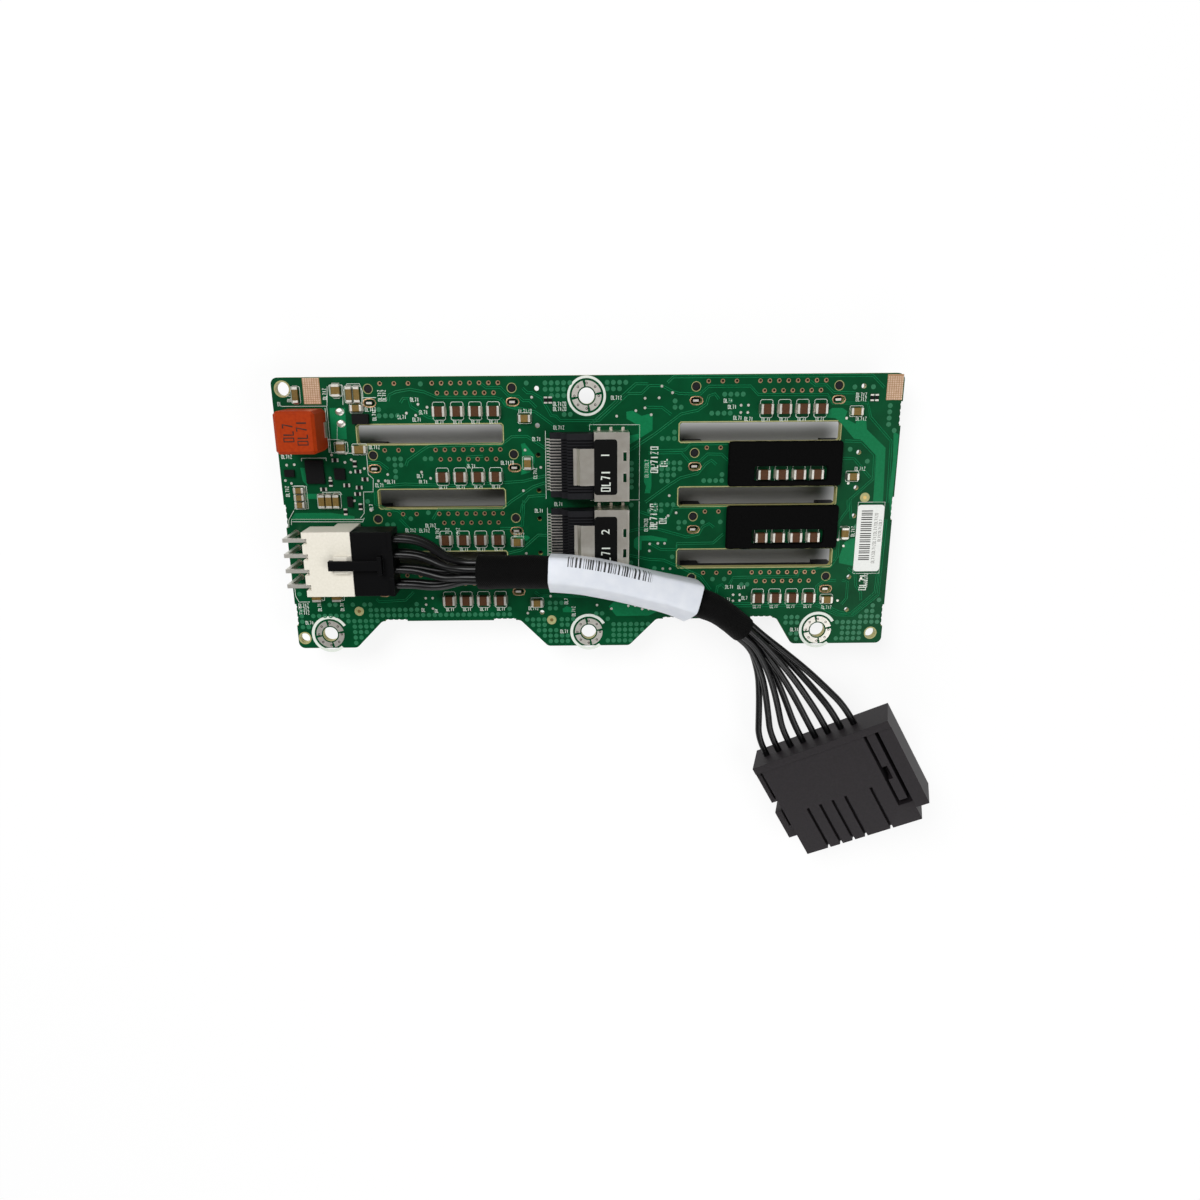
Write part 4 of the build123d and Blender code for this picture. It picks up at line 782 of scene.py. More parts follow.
class BACKPLANE_OT_copper(bpy.types.Operator):
    """Lays the copper areas, traces, vias, pads and hole rims on the rear face"""

    bl_idname = "backplane.copper"
    bl_label = "Copper and pads"

    def execute(self, context):
        sizes = context.scene.board_sizes
        settled(flat_areas("copper_areas", COPPER_AREAS, AREA_HEIGHT), "masked_copper")
        pairs = [side for line in TRACES for side in (line, beside(line, TRACE_GAP))]
        settled(flat_lines("traces", pairs, sizes.trace_width / MM, TRACE_HEIGHT), "masked_copper")
        radius = sizes.via_radius / MM
        spots = [((first + step) * VIA_PITCH[0], VIA_FIRST_ROW + row * VIA_PITCH[1])
                 for row, runs in VIA_RUNS.items() for first, count in runs for step in range(count)]
        spots = [spot for spot in spots if on_board(*spot, radius + 0.2)]
        scattered("vias", pad(radius, radius * 0.45, 0.05, 0.03), spots, "via")
        radius = sizes.pin_radius / MM
        places = pin_places()
        scattered("pin_rims", pad(radius, radius * 0.38, 0.07, 0.04, 14), places, "bare_copper")
        # Painted shade: a dark disc in each pin hole, standing a little off the middle of the hole
        tails = [(x + 0.06, y + 0.08) for x, y in places]
        scattered("pin_hole_shade", pad(radius * 0.56, 0.1, 0.085, 0.02, 10), tails, "dark_tail")
        scattered("test_dots", pad(*TEST_DOT), TEST_DOTS, "tin")
        pegs = [(bay + side * PEG_REACH, row) for bay in BAY_X for row in ROW_Y for side in SIDES]
        scattered("peg_rims", ring(*PEG_RIM, RIM_HEIGHT), pegs, "laminate")
        slots = [stadium(x + LOCK_PLACE[0], y + LOCK_PLACE[1], *LOCK_SIZE) for x, y in pegs]
        settled(flat_lines("lock_rims", slots, 0.36, 0.06), "bare_copper")
        settled(flat_lines("slot_edges", slot_edges(), 0.34, RIM_HEIGHT), "laminate")
        self.screw_pads()
        scattered("fiducials", pad(*FIDUCIAL), FIDUCIALS, "contact")
        scattered("fiducial_halos", ring(*FIDUCIAL_HALO, RIM_HEIGHT), FIDUCIALS, "laminate")
        self.meshed_pads()
        return {"FINISHED"}

    def screw_pads(self):
        """Four tinned quarters with small vias round each screw hole, and a rim on each plain hole."""
        quarters = [(x, y, 90 * turn + 45) for x, y in SCREW_HOLES for turn in range(4)]
        scattered("screw_pads", ring(*SCREW_QUARTER, 0.07, -40, 80, 8), quarters, "tin")
        holes = [(x + SCREW_VIA_RADIUS * cos(turn * pi / 4), y + SCREW_VIA_RADIUS * sin(turn * pi / 4))
                 for x, y in SCREW_HOLES for turn in range(8)]
        # Painted shade: a dark disc in each small via, for the shade inside its hole
        scattered("pad_vias", pad(*SCREW_VIA), holes, "dark_tail")
        rims = [ring(radius + 0.02, radius + 0.4, RIM_HEIGHT) for x, y, radius in PLAIN_HOLES]
        for rim, (x, y, radius) in zip(rims, PLAIN_HOLES):
            rim.location = Vector((x, y, 0)) * MM
        activate(*rims)
        bpy.ops.object.join()
        rims[0].name = "hole_rims"
        settled(rims[0], "laminate")

    def meshed_pads(self):
        """Bare copper with a square mesh of solder at two top corners."""
        corners = [boxed(*corner)[:-1] for corner in MESHED_PADS]
        settled(flat_areas("corner_pads", corners, RIM_HEIGHT), "bare_copper")
        knobs = []
        for x0, y0, x1, y1 in MESHED_PADS:
            columns, rows = int((x1 - x0) / KNOB_PITCH[0]), int((y1 - y0) / KNOB_PITCH[1])
            knobs += [(x0 + 0.4 + KNOB_PITCH[0] * column, y0 + 0.35 + KNOB_PITCH[1] * row)
                      for column in range(columns) for row in range(rows)]
        scattered("corner_solder", pad(*SOLDER_KNOB), knobs, "pale_solder")


# White print on the board

PRINT_LINES = (
    ((-11.9, 23.4), (-12.1, 5.0)),
    ((-11.8, 2.5), (-12.0, -15.5)),
    ((0.2, 23.4), (0.2, 24.9), (13.9, 24.8), (13.9, 4.5), (0.3, 4.5)),
    ((13.9, 4.2), (13.9, -16.5)),
    ((-83.1, 30.3), (-70.9, 30.3), (-70.9, 18.0), (-65.0, 17.8)),
    ((-71.4, 29.8), (-71.4, 18.0)),
    ((-70.3, 35.4), (-70.8, 30.4)),
    ((-61.4, 32.4), (-57.4, 32.4)),
    ((-66.5, 30.6), (-66.2, 34.0), (-65.0, 36.0), (-61.6, 36.0), (-60.9, 34.0), (-61.1, 29.3)),
    ((-69.6, 35.8), (-69.6, 33.2), (-68.8, 32.3), (-67.3, 32.3), (-66.5, 33.2), (-66.5, 35.8)),
    ((-61.2, 18.6), (-61.2, 12.1), (-59.9, 10.9), (-60.2, 7.3), (-62.9, 7.3), (-63.2, 1.4), (-64.4, 0.0)),
    ((-83.9, -1.7), (-83.7, -0.1), (-63.7, -0.3)),
    ((-83.5, -0.8), (-63.8, -1.0), (-63.3, 0.1)),
    ((-82.8, 2.3), (-84.5, -0.3), (-84.7, -2.4)),
    ((-84.9, -19.2), (-84.9, -22.1), (-84.1, -23.9), (-81.0, -23.9)),
    ((-72.0, 21.5), (-68.5, 21.5), (-66.7, 20.6), (-67.0, 17.9)),
    ((-68.5, 25.4), (-68.9, 21.5)),
    ((75.5, 3.3), (75.5, -17.0), (83.0, -17.0), (83.0, 3.3), (75.5, 3.3)),
    ((-79.2, 15.8), (-79.2, 16.6), (-72.4, 16.6), (-72.4, 15.8)),
    ((-74.4, 7.3), (-69.4, 7.3), (-69.0, 6.6)),
    ((-82.6, 9.0), (-78.6, 9.0), (-78.6, 2.8), (-82.6, 2.8)),
)
# Where short runs of marks stand in for designators: how many strokes and quarter turns, then the middles
MARKS = {
    (4, 1): ((-80.9, 32.6), (-78.3, -25.5), (-71.8, -25.5)),
    (2, 0): ((-83.6, 30.9), (-48.4, -26.6), (-44.6, -26.9)),
    (5, 1): ((-71.2, 33.4), (-56.4, 32.9), (-55.2, 32.9), (-58.3, 27.9), (-84.0, 7.6), (-15.0, 12.0),
        (-4.9, -27.4), (74.6, -4.9), (79.4, -19.6), (79.4, -18.4), (-43.0, -4.4), (-40.2, -4.4),
        (-37.2, -4.4)),
    (4, 0): ((-47.1, 31.8), (-44.9, 28.5), (-50.8, 27.3), (-46.8, 26.6), (-46.1, 9.9), (-55.0, 10.0),
        (-58.3, 9.1), (-32.6, 14.1), (-81.7, -30.1), (-14.4, 21.2), (-8.7, 3.5), (-14.2, 1.7),
        (-7.7, -33.4), (37.8, 30.9), (39.0, 29.3), (40.6, 26.4), (43.6, 26.1), (40.1, -20.6), (43.6, -20.7),
        (39.4, -24.3), (59.6, -33.5)),
    (5, 0): ((-59.2, 29.3), (-58.9, 19.4), (-83.2, 17.0), (-44.8, -2.2), (-46.6, -3.6), (-50.5, -3.5),
        (-82.9, -24.9), (-82.9, -26.0), (-82.9, -27.1), (-8.2, 24.2), (7.5, 31.9), (-20.0, -5.0),
        (-16.5, -26.4), (74.0, 32.2), (74.0, 31.0), (74.4, 25.9), (75.2, 12.5), (68.6, -26.9)),
    (3, 0): ((-46.9, 11.5), (44.6, -23.9)),
    (6, 0): ((-22.6, 14.9), (-17.3, 28.6), (-7.9, 30.4), (-7.9, 29.1)),
    (3, 1): ((-61.1, 3.0), (-7.0, -24.4), (17.6, 13.4), (17.6, -2.6)),
    (8, 1): ((15.9, 13.0),),
    (6, 1): ((15.9, -2.6),),
}
# Larger runs beside the ports and under the sticker: middle, strokes, quarter turns and height
LARGE_MARKS = (
    (18.0, 15.4, 6, 1, 1.9), (20.6, 14.6, 2, 1, 1.9), (18.0, -0.2, 6, 1, 1.9), (20.6, -1.2, 2, 1, 1.9),
    (78.6, -19.6, 4, 1, 1.9),
)
STROKE_HEIGHT = 0.95
STROKE_SPACING = 0.65
PRINTED_RING = (4.6, 5.4)
TOP_PRINTED_RING = (4.6, 5.25)
# Bent strokes, as shares of their height, that stand in for letters
GLYPHS = (
    ((-0.18, -0.5), (0.18, -0.5), (0.18, 0.5), (-0.18, 0.5), (-0.18, -0.5)),
    ((-0.18, 0.5), (-0.18, -0.5), (0.18, -0.5)),
    ((-0.18, 0.5), (0.18, 0.5), (-0.02, -0.5)),
    ((0.0, -0.5), (0.0, 0.5)),
    ((-0.18, 0.5), (0.18, 0.5), (-0.18, -0.5), (0.18, -0.5)),
)


def strokes(x, y, count, quarter, height=STROKE_HEIGHT):
    """A run of short bent strokes that reads as small print and spells nothing."""
    lines = []
    for step in range(count):
        along = (step - (count - 1) / 2) * height * STROKE_SPACING
        shape = GLYPHS[step % len(GLYPHS)]
        placed = [(along + u * height, v * height) for u, v in shape]
        lines.append([(x - v, y + u) if quarter else (x + u, y + v) for u, v in placed])
    return lines


class PrintSizes(bpy.types.PropertyGroup):
    line_width: measure("Print line", "Width of the white printed lines", 0.17)
    stroke_width: measure("Print stroke", "Width of the small printed marks", 0.2)


def part_outlines(node, margin, cut):
    """Printed frames round the capacitors, each round a body and both of its ends."""
    lines = []
    for low, high in islands(node):
        across = high.x - low.x < high.y - low.y
        reach = (0.75, 1.25) if across else (1.25, 0.75)
        lines.append(boxed(low.x - reach[0] * margin, low.y - reach[1] * margin,
                           high.x + reach[0] * margin, high.y + reach[1] * margin, cut))
    return lines


class BACKPLANE_OT_print(bpy.types.Operator):
    """Prints the white outlines and marks on the rear face"""

    bl_idname = "backplane.print"
    bl_label = "White print"

    def execute(self, context):
        sizes = context.scene.print_sizes
        line, stroke = sizes.line_width / MM, sizes.stroke_width / MM
        lines = [*PRINT_LINES, *part_outlines("bay_capacitors", 0.85, 0.35)]
        lines += part_outlines("small_capacitors", 0.6, 0.2)
        marks = []
        for shape, places in MARKS.items():
            for place in places:
                marks += strokes(*place, *shape)
        for low, high in islands("bay_capacitors"):
            marks += strokes((low.x + high.x) / 2, low.y - 1.5, 4, 0)
        large = [bend for mark in LARGE_MARKS for bend in strokes(*mark)]
        prints = (("lines", lines, line), ("marks", marks, stroke), ("names", large, 2 * stroke))
        for name, shapes, width in prints:
            settled(flat_lines("print_" + name, shapes, width, PRINT_HEIGHT), "ink")
        scattered("print_rings", ring(*PRINTED_RING, PRINT_HEIGHT, -50, 280, 48), SCREW_HOLES[1:], "ink")
        whole = ring(*TOP_PRINTED_RING, PRINT_HEIGHT, 0, 360, 56)
        scattered("top_print_ring", whole, SCREW_HOLES[:1], "ink")
        return {"FINISHED"}


# Solder

# Solder left on two places without a part, and the length of a resistor's tinned end
BARE_DOMES = ((-67.5, 28.8), (-67.4, 25.7))
DOME_SIZE = (2.6, 2.1, 0.85)
END_LENGTH = 0.42
FILLET_LENGTH = 0.5
# A fillet's width and height, as shares of the end it stands at, and how far it reaches under that end
FILLET_WIDTH = 0.94
FILLET_HEIGHT = 0.6
FILLET_LAP = 0.05
SOLDERED = (("bay_capacitors", "bay_capacitor_ends"), ("small_capacitors", "small_capacitor_ends"))


def ramp():
    """A unit wedge along +X: a cube with its far top edge brought down."""
    piece = primitive("cube", "ramp", size=1, location=(0.5, 0, 0.5))
    bpy.ops.object.transform_apply(location=True)
    with editing(piece) as mesh:
        for corner in mesh.verts:
            if corner.co.x > 0.9 and corner.co.z > 0.9:
                corner.co.z = 0.12
        bmesh.update_edit_mesh(piece.data)
    return piece


class BACKPLANE_OT_solder(bpy.types.Operator):
    """Adds the solder fillets at the capacitors' ends, the bare domes and the resistors' ends"""

    bl_idname = "backplane.solder"
    bl_label = "Solder fillets"

    def execute(self, context):
        matrices = []
        for body_node, end_node in SOLDERED:
            bodies = [(low + high) / 2 for low, high in islands(body_node)]
            for low, high in islands(end_node):
                middle = (low + high) / 2
                body = min(bodies, key=lambda centre: (centre - middle).length)
                out = middle - body
                axis = 0 if abs(out.x) > abs(out.y) else 1
                sign = 1 if out[axis] > 0 else -1
                place = [middle.x, middle.y]
                place[axis] = (high if sign > 0 else low)[axis] - FILLET_LAP * sign
                turn = 90 * sign if axis else 90 - 90 * sign
                across, height = (high - low)[1 - axis] * FILLET_WIDTH, (high.z - REAR) * FILLET_HEIGHT
                matrices.append(at(*place, turn, (FILLET_LENGTH * MM, across * MM, height * MM), REAR))
        domes = [at(x, y, 0, [side * MM for side in DOME_SIZE], REAR) for x, y in BARE_DOMES]
        dome = primitive("uv_sphere", "dome", segments=16, ring_count=8, radius=0.5)
        bpy.ops.object.shade_smooth()
        settled(repeated(dome, "solder_domes", domes), "tin")
        self.resistor_ends()
        fillets = repeated(ramp(), "solder_fillets", matrices)
        applied(fillets, "BEVEL", "Rounding", width=0.08 * MM, segments=2)
        settled(fillets, "tin")
        return {"FINISHED"}

    def resistor_ends(self):
        """A tinned cap over both ends of each small resistor."""
        ends = []
        for low, high in islands("chip_resistors"):
            middle, size = (low + high) / 2, (high - low) * 1.06
            axis = 0 if size.x > size.y else 1
            for side in SIDES:
                place, shape = middle.copy(), size.copy()
                place[axis] += side / 2 * (size[axis] - END_LENGTH)
                shape[axis] = END_LENGTH
                ends.append(at(place.x, place.y, 0, shape * MM, place.z))
        settled(repeated(primitive("cube", "end", size=1), "resistor_ends", ends), "tin")


# Harness


def cord_curve(name, points, radius, material, resolution=3):
    """A smooth cord along listed points, given in millimetres."""
    data = bpy.data.curves.new(name, "CURVE")
    data.dimensions = "3D"
    data.resolution_u = 8
    data.bevel_depth = 1.0
    data.bevel_resolution = resolution
    data.use_fill_caps = True
    line = drawn(data, "NURBS", [Vector(point) * MM for point in points])
    for control in line.points:
        # The bevel is one metre and the point's radius scales it, so the curve's box stays the cord's own
        control.radius = radius * MM
    line.order_u = 3
    line.use_endpoint_u = True
    data.materials.append(material)
    return linked(name, data)


def above(points):
    """Route points with their height counted from the rear face."""
    return [Vector((x, y, REAR + z)) for x, y, z in points]


def ring_offsets(forward, radius):
    """Offsets of the bundled wires across a cord's direction: a ring from below, then the middle."""
    left = Vector((0, 0, 1)).cross(forward).normalized()
    up = forward.cross(left)
    turns = [2 * pi * place / 7 - pi / 2 for place in range(7)]
    return [left * (radius * cos(turn)) + up * (radius * sin(turn)) for turn in turns] + [Vector()]


def wire_route(number, radius):
    """One wire from the plug through the sleeve to the far connector."""
    row, column = divmod(number, 4)
    sleeve = above(SLEEVE_ROUTE)
    place = RING_PLACES[number]
    near = (sleeve[1] - sleeve[0]).normalized()
    far = (sleeve[-1] - sleeve[-2]).normalized()
    start = Vector((PLUG_END, HEADER_Y + (1.5 - column) * HEADER_PITCH, REAR + HEADER_ROWS[row]))
    bends = [Vector((PLUG_END + x, HEADER_Y + y, REAR + z)) for x, y, z in NEAR_BENDS[number]]
    entry = sleeve[0] + ring_offsets(near, radius)[place]
    route = [start, start + Vector((NEAR_LEAD, 0, 0)), *bends, entry - near * NEAR_LEAD]
    for before, here, after in zip([sleeve[0]] + sleeve, sleeve, sleeve[1:] + [sleeve[-1]]):
        forward = (after - before).normalized()
        route.append(here + ring_offsets(forward, radius)[place])
    leaving = sleeve[-1] + ring_offsets(far, radius)[place]
    across = FAR_WIRE_CENTRE + (FAR_PLACES[number] - 3.5) * FAR_WIRE_PITCH
    end = FAR_POINT + FAR_ACROSS * across - FAR_UP * FAR_WIRE_DEPTH
    route += [leaving + far * FAR_LEAD, *above(FAR_BENDS[number]), end - FAR_ALONG * FAR_LEAD, end]
    return route


def spline_length(cord):
    """The length of a curve's own line, in metres."""
    depth = cord.data.bevel_depth
    cord.data.bevel_depth = 0
    bpy.context.view_layer.update()
    mesh = bpy.data.meshes.new_from_object(cord.evaluated_get(bpy.context.evaluated_depsgraph_get()))
    cord.data.bevel_depth = depth
    points = [v.co for v in mesh.vertices]
    return sum((b - a).length for a, b in zip(points, points[1:]))


def softened(piece, depth, grain):
    """Uneven surface of a soft piece: a cloudy displacement, depth and grain in millimetres."""
    clouds = bpy.data.textures.new(piece.name + "_unevenness", "CLOUDS")
    clouds.noise_scale = grain * MM
    applied(piece, "DISPLACE", "Unevenness", texture=clouds, texture_coords="LOCAL", strength=depth * MM,
            mid_level=0.5)
    activate(piece)
    bpy.ops.object.shade_smooth()


def soft_tube(name, points, radius, taper, wall, outline=None):
    """A thin-walled tube along listed points; taper holds the share of the radius at each of them."""
    curve = cord_curve(name, points, radius, FINISHES["cloth"], 14)
    curve.data.use_fill_caps = False
    curve.data.resolution_u = 14
    for control, share in zip(curve.data.splines[0].points, taper):
        control.radius = share if outline else share * radius * MM
    if outline:
        curve.data.bevel_mode = "OBJECT"
        curve.data.bevel_object = outline
    tube = meshed(curve)
    applied(tube, "SOLIDIFY", "Wall", thickness=wall * MM, offset=-1.0)
    applied(tube, "SUBSURF", "Rounding", levels=1)
    return tube


SLEEVE_TAPER = (1.04, 1.0, 0.99, 0.98, 0.97, 0.95, 0.92, 0.88, 0.84, 0.83)
WRAP_TAPER = (1.0, 1.0, 1.0, 1.0, 1.04, 1.16)
RIDGE_TURN = 72.0
RIDGES = 5
FLATNESS = 0.8


def wrap_outline(radius):
    """Section of the folded film: a circle flattened between soft ridges."""
    data = bpy.data.curves.new("wrap_outline", "CURVE")
    half = pi / RIDGES
    points = []
    for turn in [radians(step) for step in range(0, 360, 8)]:
        facet = cos(half) / cos((turn - radians(RIDGE_TURN)) % (2 * half) - half)
        reach = radius * MM * (1 - FLATNESS * (1 - facet))
        points.append((reach * cos(turn), reach * sin(turn), 0))
    drawn(data, "POLY", points, True)
    return linked("wrap_outline", data)


class HarnessSizes(bpy.types.PropertyGroup):
    wire_diameter: measure("Wire diameter", "Across one wire's insulation", 2.0)
    bundle_ring: measure("Bundle ring", "Radius of the ring of wires in the sleeve", 2.6)
    sleeve_radius: measure("Sleeve radius", "Outside of the braided sleeve", 4.65)
    wrap_radius: measure("Wrap radius", "Outside of the label film", 5.6)


class BACKPLANE_OT_harness(bpy.types.Operator):
    """Lays the eight wires, the braided sleeve and the label film between the two connectors"""

    bl_idname = "backplane.harness"
    bl_label = "Cable harness"

    def execute(self, context):
        sizes = context.scene.harness_sizes
        sleeve, wrap = self.sleeve(sizes), self.wrap(sizes)
        for number in range(8):
            route = wire_route(number, sizes.bundle_ring / MM)
            name = "wire_" + str(number + 1)
            cord = cord_curve(name, route, sizes.wire_diameter / 2 / MM, FINISHES["jacket"])
            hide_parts("power_" + name)
            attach(cord, "root")
            spline_length(cord)
        return {"FINISHED"}

    def sleeve(self, sizes):
        """The braid, a little loose at the plug and drawn in towards the far connector."""
        tube = soft_tube("sleeve", above(SLEEVE_ROUTE), sizes.sleeve_radius / MM, SLEEVE_TAPER, 0.3)
        softened(tube, 0.35, 6.0)
        settled(tube, "cloth")
        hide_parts("cable_sleeve")
        return tube

    def wrap(self, sizes):
        """The film, folded to a ridge, with its far end open."""
        route = above(SLEEVE_ROUTE)
        points = [(route[2] + route[3]) / 2, *route[3:7], (route[6] + route[7]) / 2]
        outline = wrap_outline(sizes.wrap_radius / MM)
        tube = soft_tube("wrap", points, sizes.wrap_radius / MM, WRAP_TAPER, 0.12, outline)
        bpy.data.objects.remove(outline)
        softened(tube, 0.22, 9.0)
        settled(tube, "wrap")
        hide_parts("cable_label")
        return tube


# Foam

WINDOW_SIZE = (20.2, 4.0)
WINDOW_OFFSET = (1.65, -2.6)


class FoamSizes(bpy.types.PropertyGroup):
    grain: measure("Foam grain", "Size of the mesh cells that make the foam's surface", 0.3)


class BACKPLANE_OT_foam(bpy.types.Operator):
    """Moulds the two foam pads with their windows"""

    bl_idname = "backplane.foam"
    bl_label = "Foam pads"

    def execute(self, context):
        for place in ("upper", "lower"):
            low, high = box_mm("foam_pad_" + place)
            middle, size = (low + high) / 2, high - low
            foam = primitive("cube", "foam_" + place, size=1, location=middle * MM, scale=size * MM)
            bpy.ops.object.transform_apply(location=True, rotation=True, scale=True)
            applied(foam, "BEVEL", "Soft edges", width=0.9 * MM, segments=3)
            window = primitive("cube", "window", size=1, location=(middle + Vector((*WINDOW_OFFSET, 0))) * MM,
                               scale=Vector((*WINDOW_SIZE, 3 * size.z)) * MM)
            applied(foam, "BOOLEAN", "Window", object=window, operation="DIFFERENCE")
            bpy.data.objects.remove(window)
            applied(foam, "REMESH", "Cells", mode="VOXEL", voxel_size=context.scene.foam_sizes.grain)
            softened(foam, 0.16, 1.6)
            settled(foam, "foam")
            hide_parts("foam_pad_" + place)
        return {"FINISHED"}


# Labels


def raised_text(name, body, place, size, turn):
    """Plain lettering as a thin mesh; place in millimetres is its middle."""
    deselect()
    bpy.ops.object.text_add(location=Vector(place) * MM, rotation=(0, 0, radians(turn)))
    text = bpy.context.object
    text.name = name
    text.data.body = body
    text.data.size = size * MM
    text.data.extrude = LABEL_PRINT * MM
    text.data.align_x, text.data.align_y = "CENTER", "CENTER"
    return meshed(text)


# How far a port's number and strokes stand from the middle of its label, and the strokes' height and width
NUMBER_SHIFT = 3.2
WORD_SHIFT = -3.6
WORD_SIZE = (2.3, 0.42)
# The inductor's rows of strokes: place and count, then height and width
INDUCTOR_ROWS = ((-1.6, 3), (2.0, 4))
INDUCTOR_STROKE = (2.6, 0.4)
LABEL_PRINT = 0.03
STICKER_PRINT = 0.02
# The sticker's bars: margins below and above, ends from its left edge, then the steps between bars
BAR_MARGINS = (3.4, 1.4)
BAR_ENDS = (1.2, 4.3)
BAR_STEPS = (0.5, 0.62, 0.8, 0.55, 0.7)


class LabelSizes(bpy.types.PropertyGroup):
    digit_height: measure("Port number", "Height of a port's number", 3.2)


class BACKPLANE_OT_labels(bpy.types.Operator):
    """Prints the port numbers and the sticker's bars"""

    bl_idname = "backplane.labels"
    bl_label = "Label print"

    def execute(self, context):
        size = context.scene.label_sizes.digit_height / MM
        for port in ("1", "2"):
            low, high = box_mm("port_" + port + "_label")
            middle = (low + high) / 2
            place = (middle.x, middle.y + NUMBER_SHIFT, high.z + 0.01)
            text = raised_text("port_number_" + port, port, place, size, 90)
            settled(text, "ink")
            lines = strokes(middle.x, middle.y + WORD_SHIFT, 4, 1, WORD_SIZE[0])
            word = flat_lines("port_word_" + port, lines, WORD_SIZE[1], LABEL_PRINT, high.z)
            settled(word, "ink")
        low, high = box_mm("power_inductor")
        middle = (low + high) / 2
        for number, (shift, count) in enumerate(INDUCTOR_ROWS):
            lines = strokes(middle.x + shift, middle.y, count, 1, INDUCTOR_STROKE[0])
            word = flat_lines("inductor_mark_" + str(number), lines, INDUCTOR_STROKE[1], LABEL_PRINT, high.z)
            settled(word, "dark_ink")
        low, high = box_mm("board_label")
        bars, y = [], low.y + BAR_MARGINS[0]
        while y < high.y - BAR_MARGINS[1]:
            bars.append([(low.x + end, y) for end in BAR_ENDS])
            y += BAR_STEPS[(len(bars) - 1) % len(BAR_STEPS)]
        lines = flat_lines("sticker_bars", bars, 0.28, STICKER_PRINT, high.z)
        settled(lines, "film")
        middle = (low.y + high.y) / 2
        rows = strokes(low.x + 5.4, middle, 26, 1, 0.85) + strokes(low.x + 6.7, middle + 2.2, 13, 1, 0.75)
        settled(flat_lines("sticker_rows", rows, 0.12, STICKER_PRINT, high.z), "dark_ink")
        return {"FINISHED"}


# Moulded and folded parts whose sharp edges catch the light, under the width that is eased
EASED_EDGES = {
    0.15: ("power_header", "cable_plug", "far_connector"),
    0.08: ("bay_capacitors", "bay_capacitor_ends", "controller_ic"),
    0.06: ("port_1_shell", "port_2_shell", "small_capacitors", "small_capacitor_ends"),
}


class BACKPLANE_OT_finishes(bpy.types.Operator):
    """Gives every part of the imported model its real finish"""

    bl_idname = "backplane.finishes"
    bl_label = "Finishes"

    def execute(self, context):
        make_finishes()
        for node in NODES:
            finishes = [key for key, starts in NODE_FINISHES.items() if node.startswith(starts)]
            if not finishes:
                raise ValueError("no finish for " + node)
            dress(node, FINISHES[finishes[0]])
        for width, nodes in EASED_EDGES.items():
            for node in nodes:
                self.ease(NODES[node], width)
        return {"FINISHED"}

    def ease(self, piece, width):
        """Rounds the piece's sharp edges a little, on the screen only."""
        weld = piece.modifiers.new("Weld", "WELD")
        weld.merge_threshold = 0.002 * MM
        edge = piece.modifiers.new("Eased edges", "BEVEL")
        edge.width = width * MM
        edge.segments = 2
        edge.limit_method = "ANGLE"
        edge.angle_limit = radians(50)
        edge.harden_normals = True


# Stage


class StageSettings(bpy.types.PropertyGroup):
    floor_colour: bpy.props.FloatVectorProperty(
        name="Floor colour", description="Colour of the floor", subtype="COLOR", size=4,
        default=colour("#FAFAFA"))
    key_power: bpy.props.FloatProperty(
        name="Key light", description="Strength of the main lamp", default=6.6, unit="POWER")


CAMERA_PLACE = Vector((-1.07, 45.31, 295.5))
CAMERA_TURN = (radians(-19.667), radians(-0.597), radians(-0.395))
CAMERA_LENS = 30.21
CAMERA_SENSOR = 36.0
CAMERA_SHIFT = (0.00394, 0.0877)
# Lamps: name, place in metres, share of the key lamp's power and width
LAMPS = (
    ("key", (-0.35, 0.45, 0.75), 1.0, 0.5),
    ("fill", (0.55, -0.25, 0.7), 0.45, 0.6),
    ("front", (0.0, -0.7, 0.45), 0.3, 0.5),
)
LAMP_TARGET = Vector((0, -0.01, 0.01))
ROOM_LIGHT = 0.16
FLOOR_GLOW = 0.85
# Half size of the paper under the board on each axis, where it is painted grey as shade and has no glow, and
# the width over which it fades
SHADED = (("X", 80.0, 14.0), ("Y", 31.0, 11.0))
FLOOR_SIZE = 6.0


def seen_rays(tree, *kinds):
    """One for rays of either kind, else nothing."""
    rays = add(tree, "ShaderNodeLightPath")
    return calculated(tree, "MAXIMUM", *[rays.outputs[kind] for kind in kinds])


def pale_floor(tint):
    """Seamless white paper: camera and mirror-like rays see it a little brighter, so that it stays pale."""
    material, tree, shader = finish("Seamless paper", "#FAFAFA", 0.9)
    share = calculated(tree, "MULTIPLY", seen_rays(tree, "Is Camera Ray", "Is Glossy Ray"), FLOOR_GLOW)
    split = add(tree, "ShaderNodeSeparateXYZ", {"Vector": object_coords(tree)})
    under = 1.0
    for axis, reach, fade in SHADED:
        away = calculated(tree, "ABSOLUTE", split.outputs[axis])
        limits = {"Value": away, "From Min": reach * MM, "From Max": (reach - fade) * MM}
        within = add(tree, "ShaderNodeMapRange", limits, interpolation_type="SMOOTHSTEP")
        under = calculated(tree, "MULTIPLY", within.outputs[0], under)
    share = calculated(tree, "MULTIPLY", share, calculated(tree, "SUBTRACT", 1.0, under))
    # The paper under the board is seen through its slots only, in the board's deep shade; its colour there is
    # painted grey too, as painted shade
    tree.links.new(blend(tree, under, tint, "#B0B0AC"), shader.inputs["Base Color"])
    glow = add(tree, "ShaderNodeEmission", {"Color": (1, 1, 1, 1), "Strength": 1.0})
    mix = add(tree, "ShaderNodeMixShader", {0: share, 1: shader.outputs[0], 2: glow.outputs[0]})
    tree.links.new(mix.outputs[0], tree.nodes["Material Output"].inputs["Surface"])
    return material


def soft_lamp(name, place, power, size):
    bpy.ops.object.light_add(type="AREA", location=place)
    lamp = bpy.context.object
    lamp.name = name
    lamp.data.energy = power
    lamp.data.shape = "DISK"
    lamp.data.size = size
    lamp.rotation_euler = (LAMP_TARGET - Vector(place)).to_track_quat("-Z", "Y").to_euler()


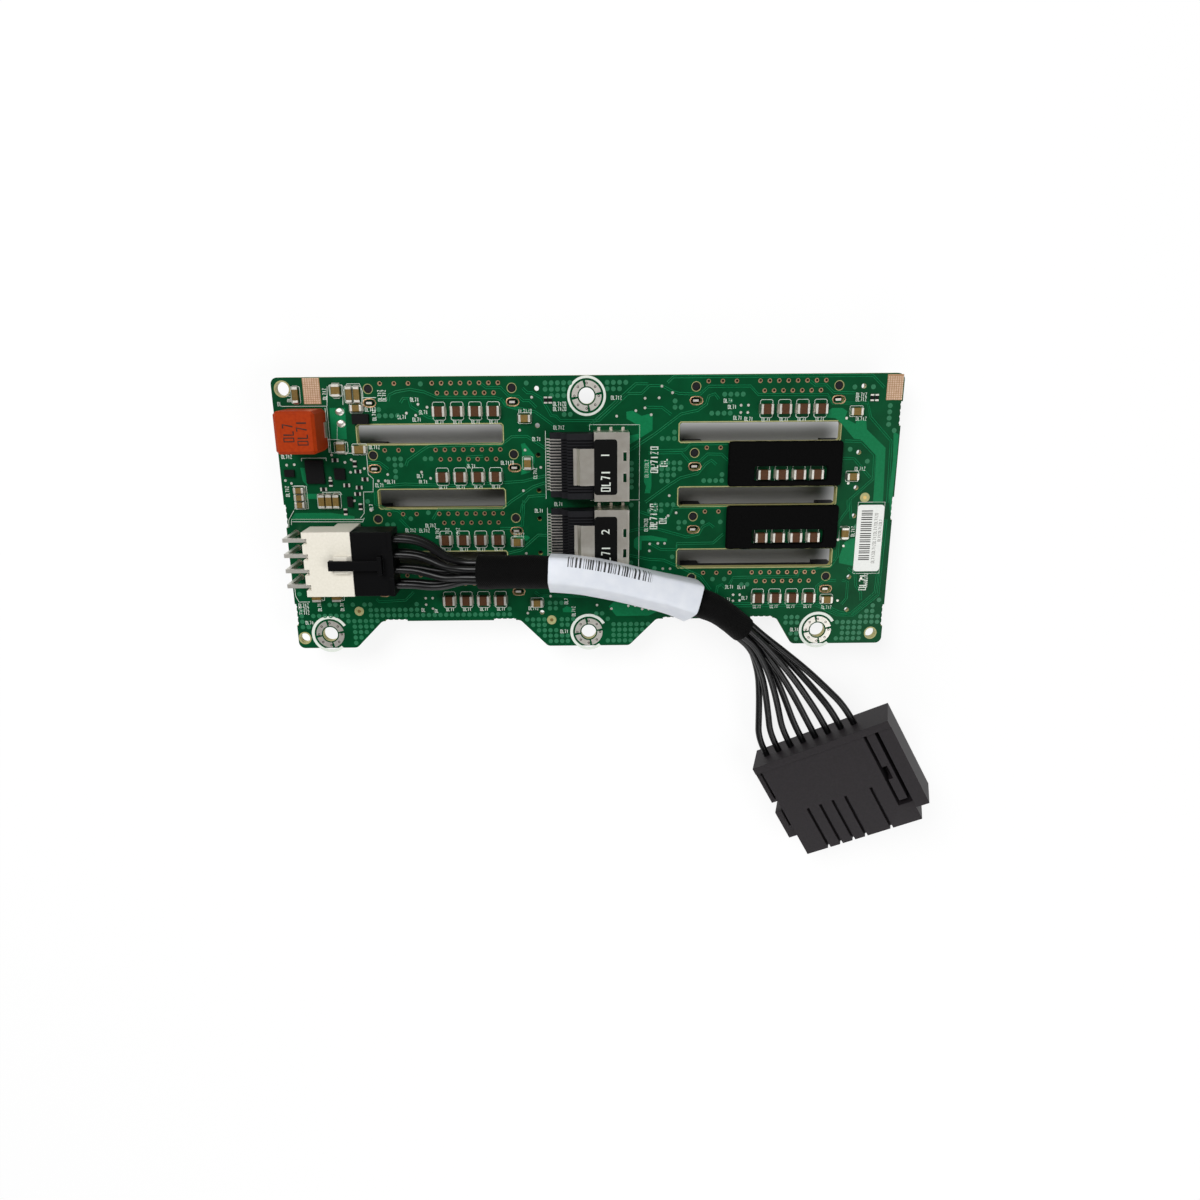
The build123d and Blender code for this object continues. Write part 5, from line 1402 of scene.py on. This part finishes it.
class BACKPLANE_OT_stage(bpy.types.Operator):
    """Sets the pale floor, the soft lamps and the camera at the photograph's angle"""

    bl_idname = "backplane.stage"
    bl_label = "Studio stage"

    def execute(self, context):
        settings = context.scene.stage_settings
        floor = primitive("plane", "floor", size=FLOOR_SIZE)
        with editing(floor):
            bpy.ops.mesh.subdivide(number_cuts=3)
        dress(floor, pale_floor(settings.floor_colour))
        for name, place, share, size in LAMPS:
            soft_lamp(name, place, settings.key_power * share, size)
        world = bpy.data.worlds.new("Studio room")
        context.scene.world = world
        world.use_nodes = True
        tree = world.node_tree
        seen = seen_rays(tree, "Is Camera Ray", "Is Transmission Ray")
        strength = add(tree, "ShaderNodeMix", {0: seen, 2: ROOM_LIGHT, 3: 1.0})
        background = tree.nodes["Background"]
        background.inputs["Color"].default_value = (1, 1, 1, 1)
        tree.links.new(strength.outputs[0], background.inputs["Strength"])
        bpy.ops.object.camera_add(location=CAMERA_PLACE * MM, rotation=CAMERA_TURN)
        camera = context.object
        camera.data.lens = CAMERA_LENS
        camera.data.sensor_width = CAMERA_SENSOR
        camera.data.shift_x, camera.data.shift_y = CAMERA_SHIFT
        camera.data.clip_start = 0.01
        context.scene.camera = camera
        context.scene.view_settings.view_transform = "Standard"
        return {"FINISHED"}


OPERATORS = (
    BACKPLANE_OT_finishes,
    BACKPLANE_OT_copper,
    BACKPLANE_OT_print,
    BACKPLANE_OT_solder,
    BACKPLANE_OT_harness,
    BACKPLANE_OT_foam,
    BACKPLANE_OT_labels,
    BACKPLANE_OT_stage,
)


class BACKPLANE_PT_panel(bpy.types.Panel):
    """Lists the steps that dress the backplane"""

    bl_label = "Drive backplane"
    bl_space_type = "VIEW_3D"
    bl_region_type = "UI"
    bl_category = "Backplane"

    def draw(self, context):
        for step in OPERATORS:
            self.layout.operator(step.bl_idname)


GROUPS = (
    (BoardSizes, "board_sizes"),
    (PrintSizes, "print_sizes"),
    (FoamSizes, "foam_sizes"),
    (LabelSizes, "label_sizes"),
    (HarnessSizes, "harness_sizes"),
    (StageSettings, "stage_settings"),
)


def register():
    for group, name in GROUPS:
        bpy.utils.register_class(group)
        setattr(bpy.types.Scene, name, bpy.props.PointerProperty(type=group))
    for step in OPERATORS:
        bpy.utils.register_class(step)
    bpy.utils.register_class(BACKPLANE_PT_panel)


def unregister():
    bpy.utils.unregister_class(BACKPLANE_PT_panel)
    for step in reversed(OPERATORS):
        bpy.utils.unregister_class(step)
    for group, name in reversed(GROUPS):
        delattr(bpy.types.Scene, name)
        bpy.utils.unregister_class(group)


def main():
    register()
    for step in OPERATORS:
        category, name = step.bl_idname.split(".")
        getattr(getattr(bpy.ops, category), name)()
    bpy.context.view_layer.update()


if __name__ == "__main__":
    main()
